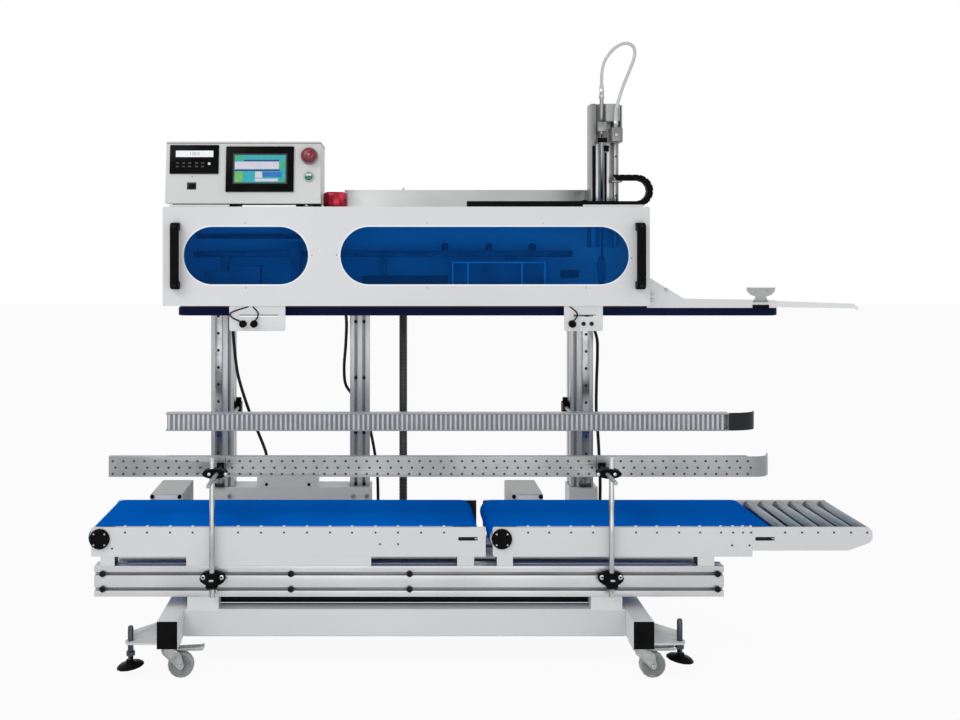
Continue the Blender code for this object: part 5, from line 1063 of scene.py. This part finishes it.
dressed("power_switch", blackMoulding, 0.0004)
switchLook = {"x": (-0.5875, -0.5605), "z": (1.4115, 1.4325), "bar": 0.0025}
(left, right), (low, high), bar = switchLook["x"], switchLook["z"], switchLook["bar"]
frameBars = [panelPlate(x, z, 0.0, 0.0014, 0.0003) for x, z in (
    ((left, right), (high - bar, high)), ((left, right), (low, low + bar)),
    ((left, left + bar), (low, high)), ((right - bar, right), (low, high)))]
mount("switchFrame", frameBars, blackMoulding, "head")

lidLook = {"front": (-0.6526, -0.1869), "sides": ((-0.6536, -0.6528), (-0.1867, -0.1859)), "deep": (0.082, 0.300),
           "z": (1.5502, 1.5530)}
lid = [panelPlate(lidLook["front"], lidLook["z"], -0.0002, 0.0009, 0.0003)]
lid += [addBlock(ends, lidLook["deep"], lidLook["z"]) for ends in lidLook["sides"]]
mount("lidSeam", lid, keyGrey, "head")
packing = [addBlock(ends, (0.078, 0.200), (1.3594, 1.3686), 0.0008)
           for ends in ((-0.617, -0.554), (-0.518, -0.440), (-0.263, -0.2425), (-0.2216, -0.1900))]
mount("boxPacking", packing, blackMoulding, "head")
mount("boxPeg", addRod((1.3594, 1.3684), (-0.2310, 0.070), "Z", 0.0042, 14, 0.0006), brightSteel, "head")
dressed("pressure_knob", knobRed, 0.0004)
mount("knobFoot", addRod((1.3592, 1.3612), (-0.146, 0.130), "Z", 0.0200, 32, 0.0006), brightSteel, "head", angle=40)

print("nozzle and drag chain")
nozzleLook = {"tubeTop": (0.666, 0.112, 1.7057), "columnTop": (0.704, 0.088, 1.6066), "front": 0.1249,
              "gleams": ((0.6520, 0.6600), (0.6850, 0.6925), (0.7075, 0.7115)), "screws": (1.395, 1.455, 1.515)}
dressed("nozzle_column", shadedAluminium, 0.0005)
tubeSkin = dressed("nozzle", brightSteel)
paintPart(tubeSkin, darkSteel, lambda x, y, z: z < 1.36)
shields = [addBlock((0.6775, 0.7200), (0.1005, 0.1248), (1.6200, 1.6740), 0.003, 3),
           addBlock((0.7230, 0.7275), (0.105, 0.185), (1.556, 1.6700), 0.001)]
mount("nozzleShield", shields, greyPaint, "carriage")
strip = [addBlock((0.6400, 0.6500), (0.1242, nozzleLook["front"]), (1.3640, 1.5480), 0.0002),
         addBlock((0.6285, 0.6408), (0.205, 0.249), (1.3700, 1.3840), 0.001),
         addBlock((0.652, 0.680), (0.0980, 0.1015), (1.5560, 1.5700), 0.0008),
         addBlock((0.6770, 0.6835), (0.1242, nozzleLook["front"]), (1.3640, 1.5280), 0.0002),
         addBlock((0.676, 0.690), (0.1180, 0.1248), (1.5300, 1.5480), 0.001)]
mount("columnTrim", strip, blackMoulding, "carriage")
gleams = [addBlock(ends, (0.1241, nozzleLook["front"]), (1.3640, 1.5540), 0.0002) for ends in nozzleLook["gleams"]]
mount("columnGleams", gleams, railAluminium, "carriage")


def relief(spot, side, wide, narrow, long):  # a tapered sleeve round a cord, with ribs
    deselect()
    bpy.ops.mesh.primitive_cone_add(
        vertices=20, radius1=wide, radius2=narrow, depth=long, location=(0, 0, long / 2))
    parts = [settle(bpy.context.object)]
    for share in (0.25, 0.45, 0.65):
        bpy.ops.mesh.primitive_cylinder_add(
            vertices=20, radius=wide - (wide - narrow) * share + 0.0006, depth=long * 0.07,
            location=(0, 0, long * share))
        parts.append(settle(bpy.context.object))
    return putOn(joined("relief", parts), spot, side)


hoseRelief = {"wide": 0.0068, "narrow": 0.0054, "long": 0.018}
cableRelief = {"wide": 0.0092, "narrow": 0.0062, "long": 0.032}


def hoseNut(spot, high):
    return addRod((spot[2], high), spot[:2], "Z", 0.0076, 6, 0.0006)


mount("hoseNut_nozzle", hoseNut(nozzleLook["tubeTop"], 1.7180), brightSteel, "nozzle_tube")
columnNut = [hoseNut(nozzleLook["columnTop"], 1.6190),
             disc((0.7035, 0.0785, 1.578), 0.0045, 0.0025, "front", 14, 0.0005)]
mount("hoseNut_column", columnNut, brightSteel, "carriage")
scatter("columnScrews", screwHead(0.0030, 0.0020), [(0.7120, 0.1250, z) for z in nozzleLook["screws"]],
        "front", blackOxide, "carriage")
for name, spot, body in (("hoseRelief_nozzle", (0.666, 0.112, 1.7175), "nozzle_tube"),
                         ("hoseRelief_column", (0.704, 0.088, 1.6185), "carriage")):
    mount(name, relief(spot, "top", **hoseRelief), clearHose, body)
headEnds = [relief((x, 0.3510, headLook["glandZ"]), "back", **cableRelief) for x in headLook["glands"]]
mount("cableReliefs_head", headEnds, blackMoulding, "head")
frameEnds = [relief(spot, "top", **cableRelief)
             for spot in ((-0.416, 0.664, 0.4362), (-0.018, 0.664, 0.1955), (0.750, 0.588, 0.1955))]
mount("cableReliefs_frame", frameEnds, blackMoulding, "machine")

chainLook = {"fixed": (0.705, 0.150, 1.374), "moving": (0.705, 0.150, 1.438)}
dressed("drag_chain", blackMoulding, between=("head", "carriage", chainLook["fixed"], chainLook["moving"]))
mount("beamStud", addRod((1.4170, 1.4250), (0.065, 0.265), "Z", 0.0035, 12, 0.0005), brightSteel, "head")

print("belts, drive and infeed")
dressed("gripping_belt_front", navyBelt)
dressed("gripping_belt_rear", navyBelt)
dressed("seal_unit", sealUnitPaint, 0.0006)
inner = [addBlock((-0.600, -0.250), (0.292, 0.312), (1.262, 1.277), 0.0008),
         addBlock((0.547, 0.605), (0.150, 0.160), (1.142, 1.167), 0.010, 5),
         addBlock((-0.065, 0.200), (0.150, 0.170), (1.080, 1.149), 0.0008)]
mount("driveShapes", inner, shadeAndDarkParts, "head")
lineLook = {"deep": (0.1378, 0.1396), "posts": (0.2135, 0.261, 0.427, 0.4975), "half": 0.0022, "edge": 0.0004}
lines = [addBlock((x - lineLook["half"], x + lineLook["half"]), lineLook["deep"], (1.080, 1.190), lineLook["edge"])
         for x in lineLook["posts"]]
lines.append(addBlock((0.2115, 0.4995), lineLook["deep"], (1.1885, 1.1925), lineLook["edge"]))
mount("driveLines", lines, whiteMoulding, "head")

infeedLook = {"dish": 1.19, "wand": 1.1885, "plate": (1.0541, 1.0745),
              "gusset": ((0.815, 0.090, 1.098), (0.815, 0.090, 1.078), (0.857, 0.090, 1.110)),
              "dishScrews": ((1.126, 0.087, 1.106), (1.162, 0.087, 1.106))}
plateLow, plateHigh = infeedLook["plate"]
infeedSkin = dressed("infeed_guide", whitePaint)
paintPart(infeedSkin, greyPaint, lambda x, y, z: x < infeedLook["dish"] and plateLow <= z < plateHigh)
paintPart(infeedSkin, greyPaint, lambda x, y, z: 1.09 < x < infeedLook["dish"] and z > plateHigh)
paintPart(infeedSkin, shadeAndDarkParts, lambda x, y, z: z < plateLow)
paintPart(infeedSkin, wandWhite, lambda x, y, z: x > infeedLook["wand"])
scatter("gussetScrews", screwHead(0.0052, 0.0035), infeedLook["gusset"], "front", zincPlate, "head")
scatter("dishScrews", screwHead(0.0030, 0.0016), infeedLook["dishScrews"], "front", zincPlate, "head")
mount("dishBlock", addBlock((1.118, 1.168), (0.0878, 0.0902), (1.0535, 1.0640), 0.0006), blackMoulding, "head")
scatter("bracketBolts", screwHead(0.0062, 0.0040), [(x, 0.0598, 1.009) for x in (0.601, 0.625)],
        "front", blackOxide, "head")

leadLook = {"bows": ((-0.419, -0.040), (-0.386, 0.012), (0.566, 0.016)),  # where a lead starts, how far it bows out
            "from": (0.0510, 1.014), "step": (0.0010, 0.0046), "radius": 0.0022}
leads = []
for x, bow in leadLook["bows"]:
    bends = [place(x + bow * math.sin(math.pi * k / 10) - (0.0 if k < 6 else bow * 0.1 * (k - 6)),
                   leadLook["from"][0] + leadLook["step"][0] * k,
                   leadLook["from"][1] + leadLook["step"][1] * k) for k in range(11)]
    leads.append(tubeAlong("lead", bends, leadLook["radius"], 2))
mount("sensorLeads", leads, blackCable, "head")

print("back and top")


def edgesOf(name):  # the low and the high corner of a piece, in the layout's own coordinates
    piece = bpy.data.objects[name]
    corners = [piece.matrix_world @ Vector(corner) - bedOrigin for corner in piece.bound_box]
    return [[extreme(corner[k] for corner in corners) for k in range(3)] for extreme in (min, max)]


backLook = {"ventX": (-0.560, -0.290), "ventFrom": 1.425, "ventStep": 0.010, "vents": 7,
            "seamsZ": (1.128, 1.338), "seamsX": (-0.580, 0.060, 0.700), "panelScrews": 9}
boxBack = edgesOf("control_box")[1][1]
vents = [facePlate((x, boxBack, backLook["ventFrom"] + backLook["ventStep"] * k), (0.070, 0.0042), 0.0008,
                   "back", 0.0003) for x in backLook["ventX"] for k in range(backLook["vents"])]
mount("boxVents", vents, slotShade, "head")
scatter("boxRearScrews", screwHead(0.0040, 0.0020),
        [(x, boxBack, z) for x in (-0.638, -0.200) for z in (1.385, 1.535)], "back", zincPlate, "head")
seams = [facePlate((0.060, headLook["back"], z), (1.280, 0.0022), 0.0006, "back") for z in backLook["seamsZ"]]
seams += [facePlate((x, headLook["back"], 1.233), (0.0022, 0.212), 0.0006, "back") for x in backLook["seamsX"]]
mount("rearPanelSeams", seams, keyGrey, "head")
panelSpots = [(-0.568 + 0.152 * k + (0.022 if k > 4 else 0.0), headLook["back"], z)
              for k in range(backLook["panelScrews"]) for z in (1.140, 1.326)]
scatter("rearPanelScrews", screwHead(0.0040, 0.0020), panelSpots, "back", zincPlate, "head")
for side, look in columnLook.items():
    top = edgesOf("column_" + side)[1][2]
    lid = addBlock((look["x"] - look["half"], look["x"] + look["half"]), (look["front"], 0.7030),
                   (top - 0.0002, top + 0.0035), 0.0012)
    mount("columnCap_" + side, lid, blackMoulding, "machine")
scatter("boxSideScrews", screwHead(0.0040, 0.0020),
        [(-0.6535, y, z) for y in (0.110, 0.270) for z in (1.400, 1.530)], "left", zincPlate, "head")

windowLook = {"tint": (0.004, 0.120, 0.46), "edge": (0.008, 0.150, 0.54), "through": (0.23, 0.70, 0.99),
              "clear": 0.91, "rough": (0.03, 0.08), "shine": 0.15}
windowBlue, windowTree, windowShader = surfaceNodes("tintedWindow")
windowTree.links.new(
    tint(windowTree, span(windowTree, noiseOf(windowTree, 2.0, 2.0), 0, 1), windowLook["tint"], windowLook["edge"]),
    windowShader.inputs["Base Color"])
windowTree.links.new(span(windowTree, noiseOf(windowTree, 300.0, 3.0), *windowLook["rough"]),
                     windowShader.inputs["Roughness"])
windowShader.inputs["Specular IOR Level"].default_value = windowLook["shine"]
seeThrough = windowTree.nodes.new("ShaderNodeBsdfTransparent")
seeThrough.inputs["Color"].default_value = (*windowLook["through"], 1)
windowMix = windowTree.nodes.new("ShaderNodeMixShader")
windowMix.inputs["Fac"].default_value = windowLook["clear"]
windowTree.links.new(windowShader.outputs["BSDF"], windowMix.inputs[1])
windowTree.links.new(seeThrough.outputs["BSDF"], windowMix.inputs[2])
windowTree.links.new(windowMix.outputs["Shader"], windowTree.nodes["Material Output"].inputs["Surface"])
dressed("cover_window", windowBlue)
